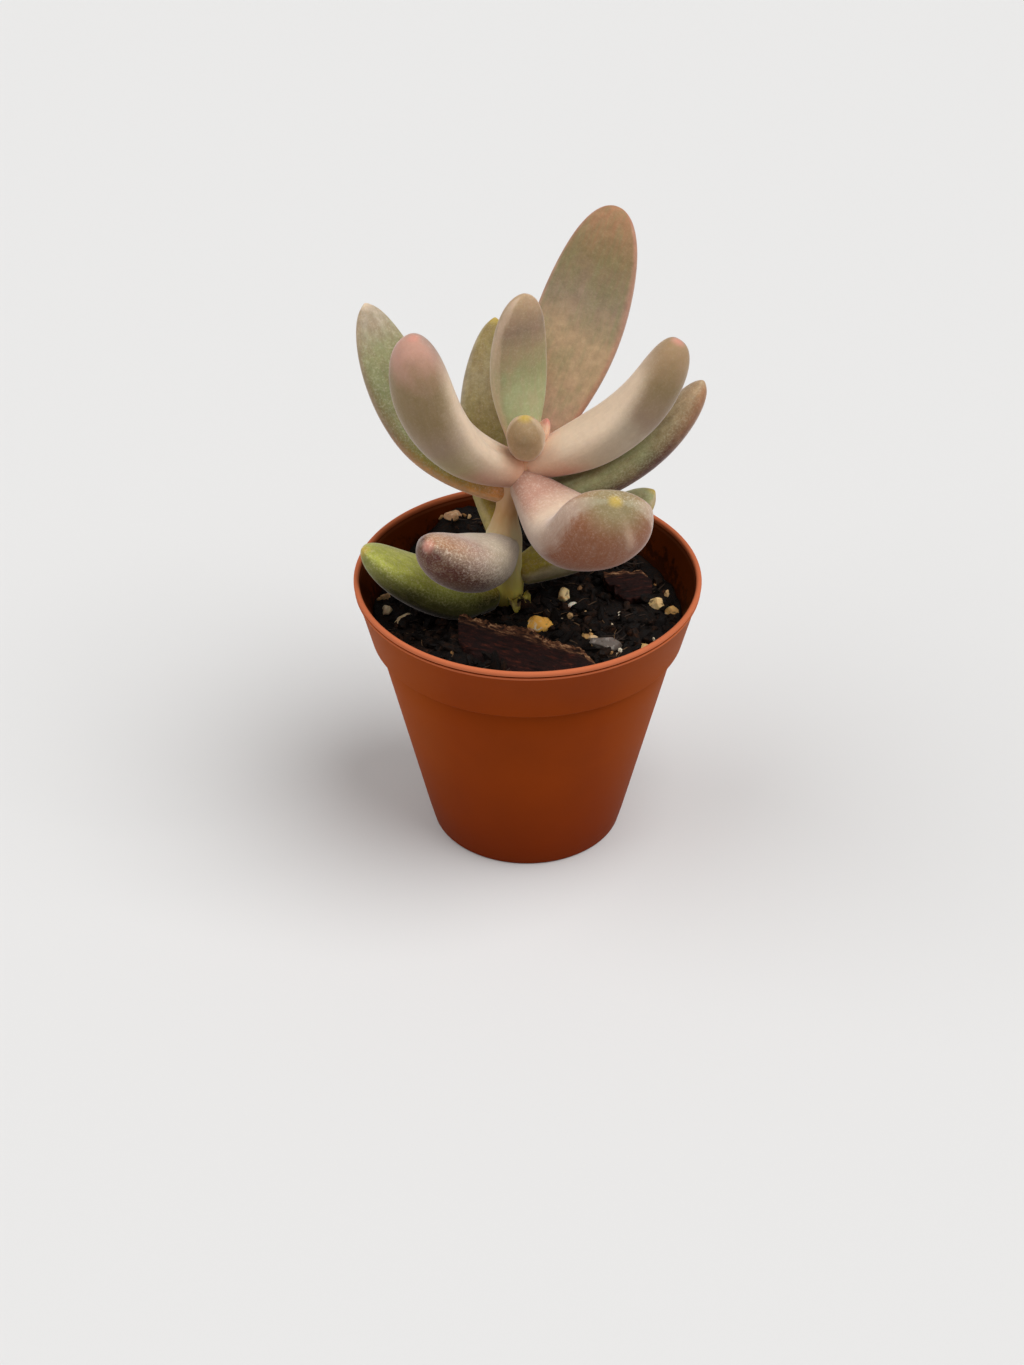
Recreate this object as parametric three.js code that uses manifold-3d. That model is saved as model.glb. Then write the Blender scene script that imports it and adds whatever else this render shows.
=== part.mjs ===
// A young Pachyphytum fittkaui, one rosette on a short bare stem, in a small round nursery pot.
// Millimetres and degrees, +Z up. The origin is the centre of the pot's underside.
// The front of the plant faces -Y, and azimuths turn from +X towards +Y.

import * as THREE from 'three';
import { mergeVertices } from 'three/addons/utils/BufferGeometryUtils.js';
import Module from 'manifold-3d';

const wasm = await Module();
wasm.setup();

// Clearance between pieces that touch
const GAP = 0.3;

// Pot: a thin moulded shell with a rolled lip, a deeper rim band, a step and a tapering body
const POT_HEIGHT = 55;
const RIM_RADIUS = 32.5;
const LIP_HEIGHT = 1.8;
const LIP_ROUND = 0.4;
const BAND_TOP_RADIUS = 31.6;
const BAND_FOOT_RADIUS = 29.6;
const BAND_HEIGHT = 11.8;
const BAND_FOOT_ROUND = 0.2;
const BODY_TOP_RADIUS = 28.4;
const BASE_RADIUS = 18.4;
const WALL = 1.1;
const FLOOR = 2;
const INNER_STEP_DROP = 1;
const POT_SIDES = 48;

// Underside: a foot ring and a centre pad with a shallow ring of drain holes between them
const PAD_RADIUS = 9;
const FOOT_RADIUS = 16.8;
const RECESS = 0.8;
const RECESS_SLOPE = 0.5;
const DRAIN_HOLES = 6;
const DRAIN_RADIUS = 2.2;
const DRAIN_CIRCLE = 12.8;
const DRAIN_SIDES = 12;

// Soil: its usual level, the heap against the wall at the back left, and two sets of low waves that
// make its lumps, each with its height and how fast it runs along x and along y
const SOIL_LEVEL = 46.5;
const HEAP = { x: -13, y: 27, spread: 11, height: 6 };
const LUMPS = { height: 0.45, alongX: 0.42, alongY: 0.5, start: 1 };
const RIPPLES = { height: 0.27, alongX: 0.95, alongY: -0.7 };
const SOIL_SIDES = 36;
const SOIL_RINGS = 6;

// Stem: places that its centreline passes through, with its radius there, from the root up. It
// flares where it meets the low left leaf and again in the heart of the rosette.
const STEM = [
  { x: -3.5, y: 4.5, z: 30, radius: 1.6 },
  { x: -3.5, y: 4.5, z: 44, radius: 2.8 },
  { x: -4.2, y: 4.5, z: 54, radius: 3.1 },
  { x: -4.5, y: 4.5, z: 61, radius: 3.5 },
  { x: -4.3, y: 4.5, z: 63.5, radius: 2.5 },
  { x: -3.9, y: 4.6, z: 67, radius: 1.9 },
  { x: -3.1, y: 4.8, z: 70.5, radius: 1.7 },
  { x: -0.7, y: 5, z: 76, radius: 2.5 },
  { x: 0.1, y: 5, z: 79, radius: 1.6 },
];
const STEM_SIDES = 12;
const STEM_STEPS = 20;

// Leaves, innermost first. Each one leaves the stem at a height, starts this far out from the stem's
// axis, heads off at an azimuth, and rises from its first angle to its last over the stretch that
// bend gives, as shares of its length; a stretch that starts below 0 or ends above 1 is already
// turning at the stem or still turning at the tip. Sweep turns it sideways, and twist rolls it about
// its own line, by its first angle at the stem and by its last at the tip. Widest is where along its
// length it is broadest, neck is how much of that breadth it has at the stem, and blunt is how full
// its tip is.
const LEAVES = {
  leaf_bud: {
    height: 78.5, start: 0, azimuth: 262, rise: [52, 80], bend: [0, 1], sweep: 0, twist: [0, 0],
    length: 10.5, width: 7, thickness: 6.2, widest: 0.48, neck: 0.64, blunt: 2.2, color: 0xb9a07a,
  },
  bud_sliver: {
    height: 78.5, start: 0, azimuth: 20, rise: [50, 65], bend: [0, 1], sweep: 0, twist: [0, 0],
    length: 7, width: 4, thickness: 2.4, widest: 0.45, neck: 0.5, blunt: 2, color: 0xdc9a83,
  },
  leaf_front: {
    height: 73.5, start: 0.2, azimuth: -50, rise: [-22, 70], bend: [0, 1.15], sweep: -10.5,
    twist: [15, -24], length: 35, width: 18.6, thickness: 12.9, widest: 0.66, neck: 0.3, blunt: 3,
    color: 0xb08a78,
  },
  leaf_right_club: {
    height: 75.5, start: 0, azimuth: -3, rise: [27, 63], bend: [0.15, 0.9], sweep: -2, twist: [5, 5],
    length: 39.5, width: 11, thickness: 10, widest: 0.42, neck: 0.46, blunt: 2.7, color: 0xb7a088,
  },
  leaf_left_club: {
    height: 75, start: 0, azimuth: 202, rise: [18.5, 77], bend: [-0.18, 0.88], sweep: 4.3,
    twist: [2, 2], length: 39.2, width: 14.2, thickness: 11.3, widest: 0.57, neck: 0.42, blunt: 2.5,
    color: 0xb39b84,
  },
  leaf_centre_upright: {
    height: 77.5, start: 0, azimuth: 106, rise: [56, 104], bend: [-0.2, 0.95], sweep: 5,
    twist: [16, 16], length: 32.5, width: 11.4, thickness: 7, widest: 0.5, neck: 0.44, blunt: 2.1,
    color: 0xa9a088,
  },
  leaf_back_broad: {
    height: 74.5, start: 0.2, azimuth: 52, rise: [48, 67], bend: [-0.4, 1.4], sweep: -2,
    twist: [16, 16], length: 51, width: 17.2, thickness: 7.5, widest: 0.55, neck: 0.38, blunt: 2.1,
    color: 0xa08c74,
  },
  leaf_left_outer: {
    height: 69.5, start: -0.5, azimuth: 151, rise: [-10, 68], bend: [-0.45, 1], sweep: -6,
    twist: [-30, -30], length: 46.5, width: 12.8, thickness: 8, widest: 0.48, neck: 0.32, blunt: 1.9,
    color: 0x94906a,
  },
  leaf_right_outer: {
    height: 68.5, start: 0.3, azimuth: 11.2, rise: [-4.5, 61], bend: [-0.4, 1.3], sweep: -3,
    twist: [-10.5, -10.5], length: 43.1, width: 11.1, thickness: 8.4, widest: 0.47, neck: 0.4,
    blunt: 2.15, color: 0x8d9468,
  },
  leaf_rear_left: {
    height: 61, start: 0, azimuth: 104, rise: [20, 66], bend: [-0.2, 1.1], sweep: -24,
    twist: [18, 18], length: 43, width: 12, thickness: 9, widest: 0.55, neck: 0.45, blunt: 1.8,
    color: 0x8a8c50,
  },
  leaf_low_left: {
    height: 58.6, start: 0.3, azimuth: 248, rise: [14.5, 42.5], bend: [-0.13, 1.16], sweep: -19.5,
    twist: [2, 2], length: 29.2, width: 14, thickness: 10.9, widest: 0.45, neck: 0.49, blunt: 2.2,
    color: 0x9a8577,
  },
  leaf_low_right: {
    height: 52, start: 1.8, azimuth: 18.7, rise: [15, 31], bend: [-0.23, 1.22], sweep: 4.5,
    twist: [2, 2], length: 30.5, width: 11.8, thickness: 7.9, widest: 0.45, neck: 0.49, blunt: 2.05,
    color: 0x8c9a5e,
  },
  leaf_low_green: {
    height: 48.5, start: 1.8, azimuth: 197.7, rise: [-2.5, 41], bend: [-0.42, 0.94], sweep: -1,
    twist: [-7, -7], length: 30, width: 13.9, thickness: 8.3, widest: 0.34, neck: 0.5, blunt: 2.1,
    color: 0x7f9448,
  },
};
const LEAF_SIDES = 14;
const LEAF_RINGS = 12;
const LEAF_STEPS = 32;

// A leaf's upper face is flatter than its belly, and its start is rounded off within the stem
const UPPER_SHARE = 0.8;
const BELLY_SHARE = 1.2;
const SECTION_POWER = 0.9;
const THICK_NECK = 0.6;
const START_ROUND = 0.05;
const SWELL_POWER = 1.3;

// Stones on the soil: place, half sizes along x, y and z, and colour
const STONES = {
  stone_orange: { x: 1.9, y: -5, half: [2.4, 1.8, 1.4], color: 0xd9953f },
  stone_white: { x: 8.4, y: 0.7, half: [1.3, 1.1, 0.9], color: 0xe6dcc6 },
  stone_cream: { x: 6.7, y: 4.5, half: [1.5, 1.2, 1.2], color: 0xd8b98a },
  stone_pale_right: { x: 24.2, y: 1.6, half: [1.6, 1.3, 1.2], color: 0xd9b083 },
  stone_wall_right: { x: 26.6, y: -0.5, half: [1.5, 1.1, 1], color: 0xc9a070 },
  stone_grey: { x: 14.3, y: -11.6, half: [2.6, 1.8, 1.3], color: 0x5c5651 },
  stone_small_front: { x: 11.2, y: -8.2, half: [1.1, 0.9, 0.8], color: 0xcaa26a },
  stone_front_right: { x: 21.5, y: -11.9, half: [1.4, 1, 0.9], color: 0xc79f63 },
  stone_left: { x: -23, y: -3.7, half: [1.8, 1.4, 1.1], color: 0xd2b48a },
  stone_left_small: { x: -26.5, y: -0.5, half: [1, 1.2, 0.9], color: 0xcdb38c },
  stone_left_far: { x: -26.6, y: 4.5, half: [1.2, 0.9, 0.9], color: 0xbf9a70 },
  stone_back_left: { x: -14.5, y: 24, half: [1.5, 1.1, 1], color: 0xb89070 },
};
const STONE_SUNK = 0.25;
const STONE_LUMPS = { share: 0.12, alongX: 4, alongY: 3 };
const STONE_DETAIL = 1;

// Bark chips: middle, half sizes, turn about Z, tilt of the back edge, arch and colour
const CHIPS = {
  bark_front: {
    x: -0.5, y: -16.6, lift: 0.4, half: [14, 5.6, 1.1], turn: -24, tilt: 24, arch: 1.4, color: 0x4a2418,
  },
  bark_back: {
    x: 19.4, y: 6.4, lift: 0.9, half: [4.2, 3.8, 1.2], turn: 12, tilt: 14, arch: 0.5, color: 0x3a2620,
  },
};
const CHIP_CUTS = [8, 3, 1];

// A chip's ends narrow by a share of its depth, its long edges are wavy, its short ends bow in
// beside the corners, and its two ends hang by a share of the arch
const CHIP_NARROW = { share: 0.45, power: 3 };
const CHIP_WAVES = { share: 0.06, alongX: 5, alongY: 2 };
const CHIP_BOW = 0.06;
const CHIP_HANG = 0.5;

const POT_COLOR = 0x9a4f2c;
const SOIL_COLOR = 0x1d1512;
const STEM_COLOR = 0x9c9a5c;
const ROUGHNESS = { pot: 0.55, soil: 1, stem: 0.8, leaf: 0.75, stone: 0.9, bark: 0.95 };

// Corners closer than this are one corner, and a point this near a ball's axis is its pole
const WELD = 1e-5;
const POLE = 1e-6;

const radians = THREE.MathUtils.degToRad;
const lerp = THREE.MathUtils.lerp;

function finish(color, roughness) {
  return new THREE.MeshStandardMaterial({ color, roughness, metalness: 0 });
}

// A closed solid from a geometry: the shared corners are joined, so that only their places are left
function solidOf(geometry) {
  geometry.deleteAttribute('normal');
  geometry.deleteAttribute('uv');
  const welded = mergeVertices(geometry, WELD);
  const vertProperties = new Float32Array(welded.attributes.position.array);
  const triVerts = new Uint32Array(welded.index.array);
  return new wasm.Manifold(new wasm.Mesh({ numProp: 3, vertProperties, triVerts }));
}

function geometryOf(solid) {
  const mesh = solid.getMesh();
  const geometry = new THREE.BufferGeometry();
  geometry.setAttribute('position', new THREE.BufferAttribute(mesh.vertProperties, 3));
  geometry.setIndex(new THREE.BufferAttribute(mesh.triVerts, 1));
  geometry.computeVertexNormals();
  return geometry;
}

// The biggest piece of a solid that a cut has left in several
function largest(solid) {
  return solid.decompose().reduce((a, b) => (a.volume() > b.volume() ? a : b));
}

function mapPoints(geometry, place) {
  const points = geometry.attributes.position;
  const point = new THREE.Vector3();
  for (let i = 0; i < points.count; i += 1) {
    point.fromBufferAttribute(points, i);
    const moved = place(point);
    points.setXYZ(i, moved.x, moved.y, moved.z);
  }
  return geometry;
}

// A value that runs through a list of places, found by height
function alongStem(height, key) {
  const above = STEM.findIndex((place) => place.z >= height);
  if (above === 0) return STEM[0][key];
  if (above < 0) return STEM[STEM.length - 1][key];
  const low = STEM[above - 1];
  const high = STEM[above];
  return lerp(low[key], high[key], (height - low.z) / (high.z - low.z));
}

// Pot

const bandFoot = POT_HEIGHT - BAND_HEIGHT;
const lipUnderside = POT_HEIGHT - LIP_HEIGHT;
const innerStep = bandFoot - INNER_STEP_DROP;

function bodyRadius(z) {
  return lerp(BASE_RADIUS, BODY_TOP_RADIUS, z / bandFoot);
}

// Radius of the pot's inside at a height
function insideRadius(z) {
  if (z < innerStep) return bodyRadius(z) - WALL;
  if (z < bandFoot) {
    return lerp(bodyRadius(innerStep), BAND_FOOT_RADIUS, (z - innerStep) / INNER_STEP_DROP) - WALL;
  }
  return lerp(BAND_FOOT_RADIUS, BAND_TOP_RADIUS, (z - bandFoot) / (lipUnderside - bandFoot)) - WALL;
}

function potSolid() {
  const profile = [
    [0, 0],
    [PAD_RADIUS, 0],
    [PAD_RADIUS + RECESS_SLOPE, RECESS],
    [FOOT_RADIUS - RECESS_SLOPE, RECESS],
    [FOOT_RADIUS, 0],
    [BASE_RADIUS - LIP_ROUND, 0],
    [BASE_RADIUS, LIP_ROUND],
    [BODY_TOP_RADIUS, bandFoot],
    [BAND_FOOT_RADIUS - BAND_FOOT_ROUND, bandFoot],
    [BAND_FOOT_RADIUS, bandFoot + BAND_FOOT_ROUND],
    [BAND_TOP_RADIUS, lipUnderside],
    [RIM_RADIUS - LIP_ROUND, lipUnderside],
    [RIM_RADIUS, lipUnderside + LIP_ROUND],
    [RIM_RADIUS, POT_HEIGHT - LIP_ROUND],
    [RIM_RADIUS - LIP_ROUND, POT_HEIGHT],
    [insideRadius(lipUnderside) + LIP_ROUND, POT_HEIGHT],
    [insideRadius(lipUnderside), POT_HEIGHT - LIP_ROUND],
    [insideRadius(lipUnderside), lipUnderside],
    [insideRadius(bandFoot), bandFoot],
    [insideRadius(innerStep), innerStep],
    [insideRadius(FLOOR), FLOOR],
    [0, FLOOR],
  ];
  const shell = new THREE.LatheGeometry(profile.map(([r, z]) => new THREE.Vector2(r, z)), POT_SIDES);
  let pot = solidOf(shell.rotateX(Math.PI / 2));
  for (let i = 0; i < DRAIN_HOLES; i += 1) {
    const turn = (2 * Math.PI * i) / DRAIN_HOLES;
    const hole = new THREE.CylinderGeometry(DRAIN_RADIUS, DRAIN_RADIUS, 3 * FLOOR, DRAIN_SIDES);
    hole.rotateX(Math.PI / 2);
    hole.translate(DRAIN_CIRCLE * Math.cos(turn), DRAIN_CIRCLE * Math.sin(turn), 0);
    pot = pot.subtract(solidOf(hole));
  }
  return pot;
}

// Soil

function soilHeight(x, y) {
  const away = ((x - HEAP.x) ** 2 + (y - HEAP.y) ** 2) / HEAP.spread ** 2;
  const lumps = Math.sin(LUMPS.alongX * x + LUMPS.start) * Math.cos(LUMPS.alongY * y);
  const ripples = Math.sin(RIPPLES.alongX * x + RIPPLES.alongY * y);
  return SOIL_LEVEL + HEAP.height * Math.exp(-away) + LUMPS.height * lumps + RIPPLES.height * ripples;
}

// The soil fills the pot from just above its floor, and its top follows soilHeight
function soilSolid() {
  const levels = [FLOOR + GAP, innerStep, bandFoot + GAP];
  const profile = [new THREE.Vector2(0, 0)];
  levels.forEach((height, level) => profile.push(new THREE.Vector2(1, level)));
  for (let ring = SOIL_RINGS; ring >= 0; ring -= 1) {
    profile.push(new THREE.Vector2(ring / SOIL_RINGS, levels.length));
  }
  const fill = new THREE.LatheGeometry(profile, SOIL_SIDES).rotateX(Math.PI / 2);
  return solidOf(mapPoints(fill, (point) => {
    const level = Math.round(point.z);
    if (level < levels.length) {
      const radius = insideRadius(levels[level]) - GAP;
      return new THREE.Vector3(point.x * radius, point.y * radius, levels[level]);
    }
    const edge = insideRadius(SOIL_LEVEL) - GAP;
    const wallHeight = soilHeight(point.x * edge, point.y * edge);
    const reach = insideRadius(wallHeight) - GAP;
    const x = point.x * reach;
    const y = point.y * reach;
    return new THREE.Vector3(x, y, soilHeight(x, y));
  }));
}

// Stem

function stemSolid(grow) {
  const foot = STEM[0].z - grow;
  const top = STEM[STEM.length - 1].z + grow;
  const column = new THREE.CylinderGeometry(1, 1, 1, STEM_SIDES, STEM_STEPS).rotateX(Math.PI / 2);
  return solidOf(mapPoints(column, (point) => {
    const height = lerp(foot, top, point.z + 0.5);
    const radius = alongStem(height, 'radius') + grow;
    return new THREE.Vector3(
      alongStem(height, 'x') + point.x * radius,
      alongStem(height, 'y') + point.y * radius,
      height,
    );
  }));
}

// Leaves

// The middle line of a leaf, with the directions across it and through it at each step
function leafLine(leaf) {
  const out = radians(leaf.azimuth);
  const place = new THREE.Vector3(
    alongStem(leaf.height, 'x') + leaf.start * Math.cos(out),
    alongStem(leaf.height, 'y') + leaf.start * Math.sin(out),
    leaf.height,
  );
  const headingAt = (t) => {
    const turned = THREE.MathUtils.smoothstep(t, leaf.bend[0], leaf.bend[1]);
    const rise = radians(lerp(leaf.rise[0], leaf.rise[1], turned));
    const turn = radians(leaf.azimuth + leaf.sweep * t);
    const flat = Math.cos(rise);
    const ahead = new THREE.Vector3(flat * Math.cos(turn), flat * Math.sin(turn), Math.sin(rise));
    const level = new THREE.Vector3(-Math.sin(turn), Math.cos(turn), 0);
    const across = level.applyAxisAngle(ahead, radians(lerp(leaf.twist[0], leaf.twist[1], t)));
    const through = new THREE.Vector3().crossVectors(ahead, across);
    return { ahead, across, through };
  };
  const line = [{ place: place.clone(), ...headingAt(0) }];
  for (let step = 1; step <= LEAF_STEPS; step += 1) {
    const middle = headingAt((step - 0.5) / LEAF_STEPS);
    place.addScaledVector(middle.ahead, leaf.length / LEAF_STEPS);
    line.push({ place: place.clone(), ...headingAt(step / LEAF_STEPS) });
  }
  return line;
}

// Share of the full breadth at t along a leaf, from its neck over its broadest place to its tip
function fullness(t, widest, neck, blunt) {
  const start = Math.sqrt(1 - (1 - Math.min(t / START_ROUND, 1)) ** 2);
  if (t < widest) {
    return start * (neck + (1 - neck) * Math.sin((Math.PI / 2) * (t / widest)) ** SWELL_POWER);
  }
  const past = Math.min((t - widest) / (1 - widest), 1);
  return start * (1 - past ** blunt) ** (1 / blunt);
}

// A ball stretched along the leaf's line, with its poles at the stem and the tip
function leafSolid(leaf, grow) {
  const line = leafLine(leaf);
  const ball = new THREE.SphereGeometry(1, LEAF_SIDES, LEAF_RINGS);
  return solidOf(mapPoints(ball, (point) => {
    const t = THREE.MathUtils.clamp((1 + point.y) / 2, 0, 1);
    const step = Math.min(Math.floor(t * LEAF_STEPS), LEAF_STEPS - 1);
    const part = t * LEAF_STEPS - step;
    const low = line[step];
    const high = line[step + 1];
    const around = Math.hypot(point.x, point.z);
    const atPole = around < POLE;
    const cos = atPole ? 0 : point.x / around;
    const sin = atPole ? 0 : -point.z / around;
    const side = Math.sign(cos) * Math.abs(cos) ** SECTION_POWER;
    const up = sin > 0 ? sin * UPPER_SHARE : sin * BELLY_SHARE;
    const width = (leaf.width / 2) * fullness(t, leaf.widest, leaf.neck, leaf.blunt) + grow;
    const depth = (leaf.thickness / 2) * fullness(t, leaf.widest, THICK_NECK, leaf.blunt) + grow;
    const end = atPole ? Math.sign(point.y) * grow : 0;
    return low.place.clone().lerp(high.place, part)
      .addScaledVector(low.across.clone().lerp(high.across, part), side * width)
      .addScaledVector(low.through.clone().lerp(high.through, part), up * depth)
      .addScaledVector(low.ahead, end);
  }));
}

// Stones and bark

function stoneSolid(stone, grow) {
  const pebble = new THREE.IcosahedronGeometry(1, STONE_DETAIL);
  const middle = soilHeight(stone.x, stone.y) + stone.half[2] * STONE_SUNK;
  return solidOf(mapPoints(pebble, (point) => {
    const waveX = Math.sin(STONE_LUMPS.alongX * point.x + stone.x);
    const waveY = Math.cos(STONE_LUMPS.alongY * point.y + stone.y);
    const lump = 1 + STONE_LUMPS.share * waveX * waveY;
    return new THREE.Vector3(
      stone.x + point.x * (stone.half[0] * lump + grow),
      stone.y + point.y * (stone.half[1] * lump + grow),
      middle + point.z * (stone.half[2] * lump + grow),
    );
  }));
}

// A slab of bark: its ends narrow, it arches across its width, and its back edge is raised
function chipSolid(chip, grow) {
  const [length, depth, thick] = chip.half.map((half) => half + grow);
  const slab = new THREE.BoxGeometry(2, 2, 2, ...CHIP_CUTS);
  mapPoints(slab, (point) => {
    const narrow = 1 - CHIP_NARROW.share * Math.abs(point.x) ** CHIP_NARROW.power;
    const wavy = 1 + CHIP_WAVES.share * Math.sin(CHIP_WAVES.alongX * point.x + CHIP_WAVES.alongY * point.y);
    const x = point.x * length * (1 - CHIP_BOW * point.y ** 2);
    const y = point.y * depth * narrow * wavy;
    const arch = chip.arch * (1 - point.y ** 2 - CHIP_HANG * point.x ** 2);
    return new THREE.Vector3(x, y, point.z * thick + arch);
  });
  slab.rotateX(radians(chip.tilt));
  slab.rotateZ(radians(chip.turn));
  slab.translate(chip.x, chip.y, soilHeight(chip.x, chip.y) + chip.lift);
  return solidOf(slab);
}

// Assembly

const plant = new THREE.Group();

function addPiece(parent, name, solid, material) {
  const mesh = new THREE.Mesh(geometryOf(solid), material);
  mesh.name = name;
  parent.add(mesh);
}

const stemClear = stemSolid(GAP);
const leafGroup = new THREE.Group();
const leafClears = [];
for (const [name, leaf] of Object.entries(LEAVES)) {
  let blade = leafSolid(leaf, 0).subtract(stemClear);
  for (const clear of leafClears) blade = blade.subtract(clear);
  addPiece(leafGroup, name, largest(blade), finish(leaf.color, ROUGHNESS.leaf));
  leafClears.push(leafSolid(leaf, GAP));
}

let soil = soilSolid().subtract(stemClear);
for (const clear of leafClears) soil = soil.subtract(clear);

const soilGroup = new THREE.Group();
for (const [name, stone] of Object.entries(STONES)) {
  addPiece(soilGroup, name, stoneSolid(stone, 0), finish(stone.color, ROUGHNESS.stone));
  soil = soil.subtract(stoneSolid(stone, GAP));
}
for (const [name, chip] of Object.entries(CHIPS)) {
  addPiece(soilGroup, name, chipSolid(chip, 0), finish(chip.color, ROUGHNESS.bark));
  soil = soil.subtract(chipSolid(chip, 2 * GAP));
}
addPiece(soilGroup, 'soil', largest(soil), finish(SOIL_COLOR, ROUGHNESS.soil));

addPiece(plant, 'pot', potSolid(), finish(POT_COLOR, ROUGHNESS.pot));
addPiece(plant, 'stem', stemSolid(0), finish(STEM_COLOR, ROUGHNESS.stem));
plant.add(leafGroup, soilGroup);

export default plant;
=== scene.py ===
import math
import random
from collections import namedtuple

import bmesh
import bpy
from bpy.props import FloatProperty, FloatVectorProperty, IntProperty, PointerProperty
from mathutils import Matrix, Vector, noise


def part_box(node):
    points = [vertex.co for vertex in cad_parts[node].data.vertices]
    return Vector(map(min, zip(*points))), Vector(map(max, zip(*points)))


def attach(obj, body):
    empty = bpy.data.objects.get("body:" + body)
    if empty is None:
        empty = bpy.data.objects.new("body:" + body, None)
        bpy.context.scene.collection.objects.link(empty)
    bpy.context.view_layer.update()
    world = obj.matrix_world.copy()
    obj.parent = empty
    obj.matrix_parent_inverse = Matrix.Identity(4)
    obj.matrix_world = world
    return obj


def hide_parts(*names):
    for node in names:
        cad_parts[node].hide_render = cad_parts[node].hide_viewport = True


bl_info = {
    "name": "Potted Pachyphytum fittkaui",
    "version": (1, 0, 0),
    "blender": (4, 5, 0),
    "location": "View3D > Sidebar > Succulent",
    "description": "Finished skin, soil and pot for a young potted succulent",
    "category": "Object",
}

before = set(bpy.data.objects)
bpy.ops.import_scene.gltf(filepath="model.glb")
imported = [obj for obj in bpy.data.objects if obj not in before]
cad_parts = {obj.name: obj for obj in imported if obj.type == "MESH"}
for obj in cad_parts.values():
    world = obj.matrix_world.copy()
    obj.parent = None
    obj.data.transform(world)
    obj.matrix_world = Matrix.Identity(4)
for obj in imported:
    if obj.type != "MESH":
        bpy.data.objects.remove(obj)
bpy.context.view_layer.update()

# Places and sizes are in millimetres, as on the plant, and MM turns them into Blender's metres
MM = 0.001
UP = Vector((0, 0, 1))


def linear(hex_colour):
    """A colour written as sRGB hex, as the linear values that Blender's sockets take"""
    channels = [int(hex_colour[place:place + 2], 16) / 255 for place in (1, 3, 5)]
    return tuple(c / 12.92 if c <= 0.04045 else ((c + 0.055) / 1.055) ** 2.4 for c in channels) + (1.0,)


# Pot: the shell repeats the CAD pot's sizes, with a rolled lip over a thin bead, and a band that is a
# little wider at its shoulder
POT_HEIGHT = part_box("pot")[1].z / MM
RIM_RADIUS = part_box("pot")[1].x / MM
BAND_TOP_RADIUS = 31.6
BAND_SHOULDER_RADIUS = 32.0
LIP_GROOVE = 0.75
LIP_DEPTH = 0.6
LOWER_BEAD_IN = 0.1
BEAD_GAP = 0.15
SHOULDER_DROP = 0.2
STEP_GROOVE = 0.35
GROOVE_START = 0.9
GROOVE_EDGES = (0.15, 0.05)
STEP_ROUND = 0.35
FOOT_ROUND = 0.5
BODY_RINGS = (4, 12, 20, 28, 36)
BAND_FOOT_RADIUS = 29.6
BAND_FOOT_HEIGHT = POT_HEIGHT - 11.8
BODY_TOP_RADIUS = 28.4
BASE_RADIUS = 18.4
WALL = 1.1
FLOOR = 2.0
INNER_STEP_HEIGHT = BAND_FOOT_HEIGHT - 1.0
INNER_MIDDLE = 24.0
LIP_BLEND_HEIGHT = BAND_FOOT_HEIGHT + 6.0
PAD_RADIUS = 9.0
FOOT_RADIUS = 16.8
RECESS = 0.8
RECESS_SLOPE = 0.5
DRAIN_HOLES = 6
DRAIN_RADIUS = 2.2
DRAIN_CIRCLE = 12.8
DRAIN_SIDES = 32
POT_TURNS = 160
SHARP_ANGLE = 50

# A hair's breadth, which keeps forms that lie close together apart
HAIR = 0.05

# Soil: the CAD soil's own waves, under a finer relief of clods
SOIL_LEVEL = 46.5
HEAP = {"x": -13.0, "y": 27.0, "spread": 11.0, "height": 6.0}
LUMPS = {"height": 0.45, "along_x": 0.42, "along_y": 0.5, "start": 1.0}
RIPPLES = {"height": 0.27, "along_x": 0.95, "along_y": -0.7}
SOIL_TURNS = 150
SOIL_RINGS = 70
SOIL_GAP = 0.3
SCATTER_REACH = 29.2
FIBRE_REACH = 27.5

# What loose bits are drawn from: how strongly small and round ones prevail, how far a bit stands out
# of the peat and how uneven it is, and the half length, thickness, curl and tilt of a fibre
LUMP = {
    "small": 2.2, "round": 3, "stretch": (0.9, 1.3), "squash": (0.6, 1), "stands": (-0.1, 0.3),
    "uneven": 0.5,
}
FIBRE = {"half": (0.6, 2.8), "thick": (0.05, 0.14), "curl": (-0.25, 0.25), "tilt": (-0.12, 0.3)}

# Relief of the peat: how far apart its marks lie, which slice of the noise they take, and their share
Relief = namedtuple("Relief", "size slice share")
CLODS = Relief(4.5, 3, 0.6)
CRESTS = Relief(1.8, 9, 0.55)
CRUMBLES = Relief(0.7, 21, 0.28)
RELIEF_DROP = 0.3

# Stem: places on its axis with its radius, how far its bends are softened, and how far the cushion
# under a leaf stands out, lies below the leaf and spreads
StemPlace = namedtuple("StemPlace", "x y z radius")
STEM = [StemPlace(*place) for place in (
    (-3.5, 4.5, 30, 1.6), (-3.5, 4.5, 44, 2.8), (-4.2, 4.5, 54, 3.1), (-4.5, 4.5, 61, 3.5),
    (-4.3, 4.5, 63.5, 2.5), (-3.9, 4.6, 67, 1.9), (-3.1, 4.8, 70.5, 1.7), (-0.7, 5.0, 76, 2.5),
    (0.1, 5.0, 79, 1.6),
)]
STEM_TURNS = 48
STEM_STEPS = 120
STEM_SOFTENED = 1.2
CUSHION = {"height": 0.55, "below": 1.0, "spread": 1.5}

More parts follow.
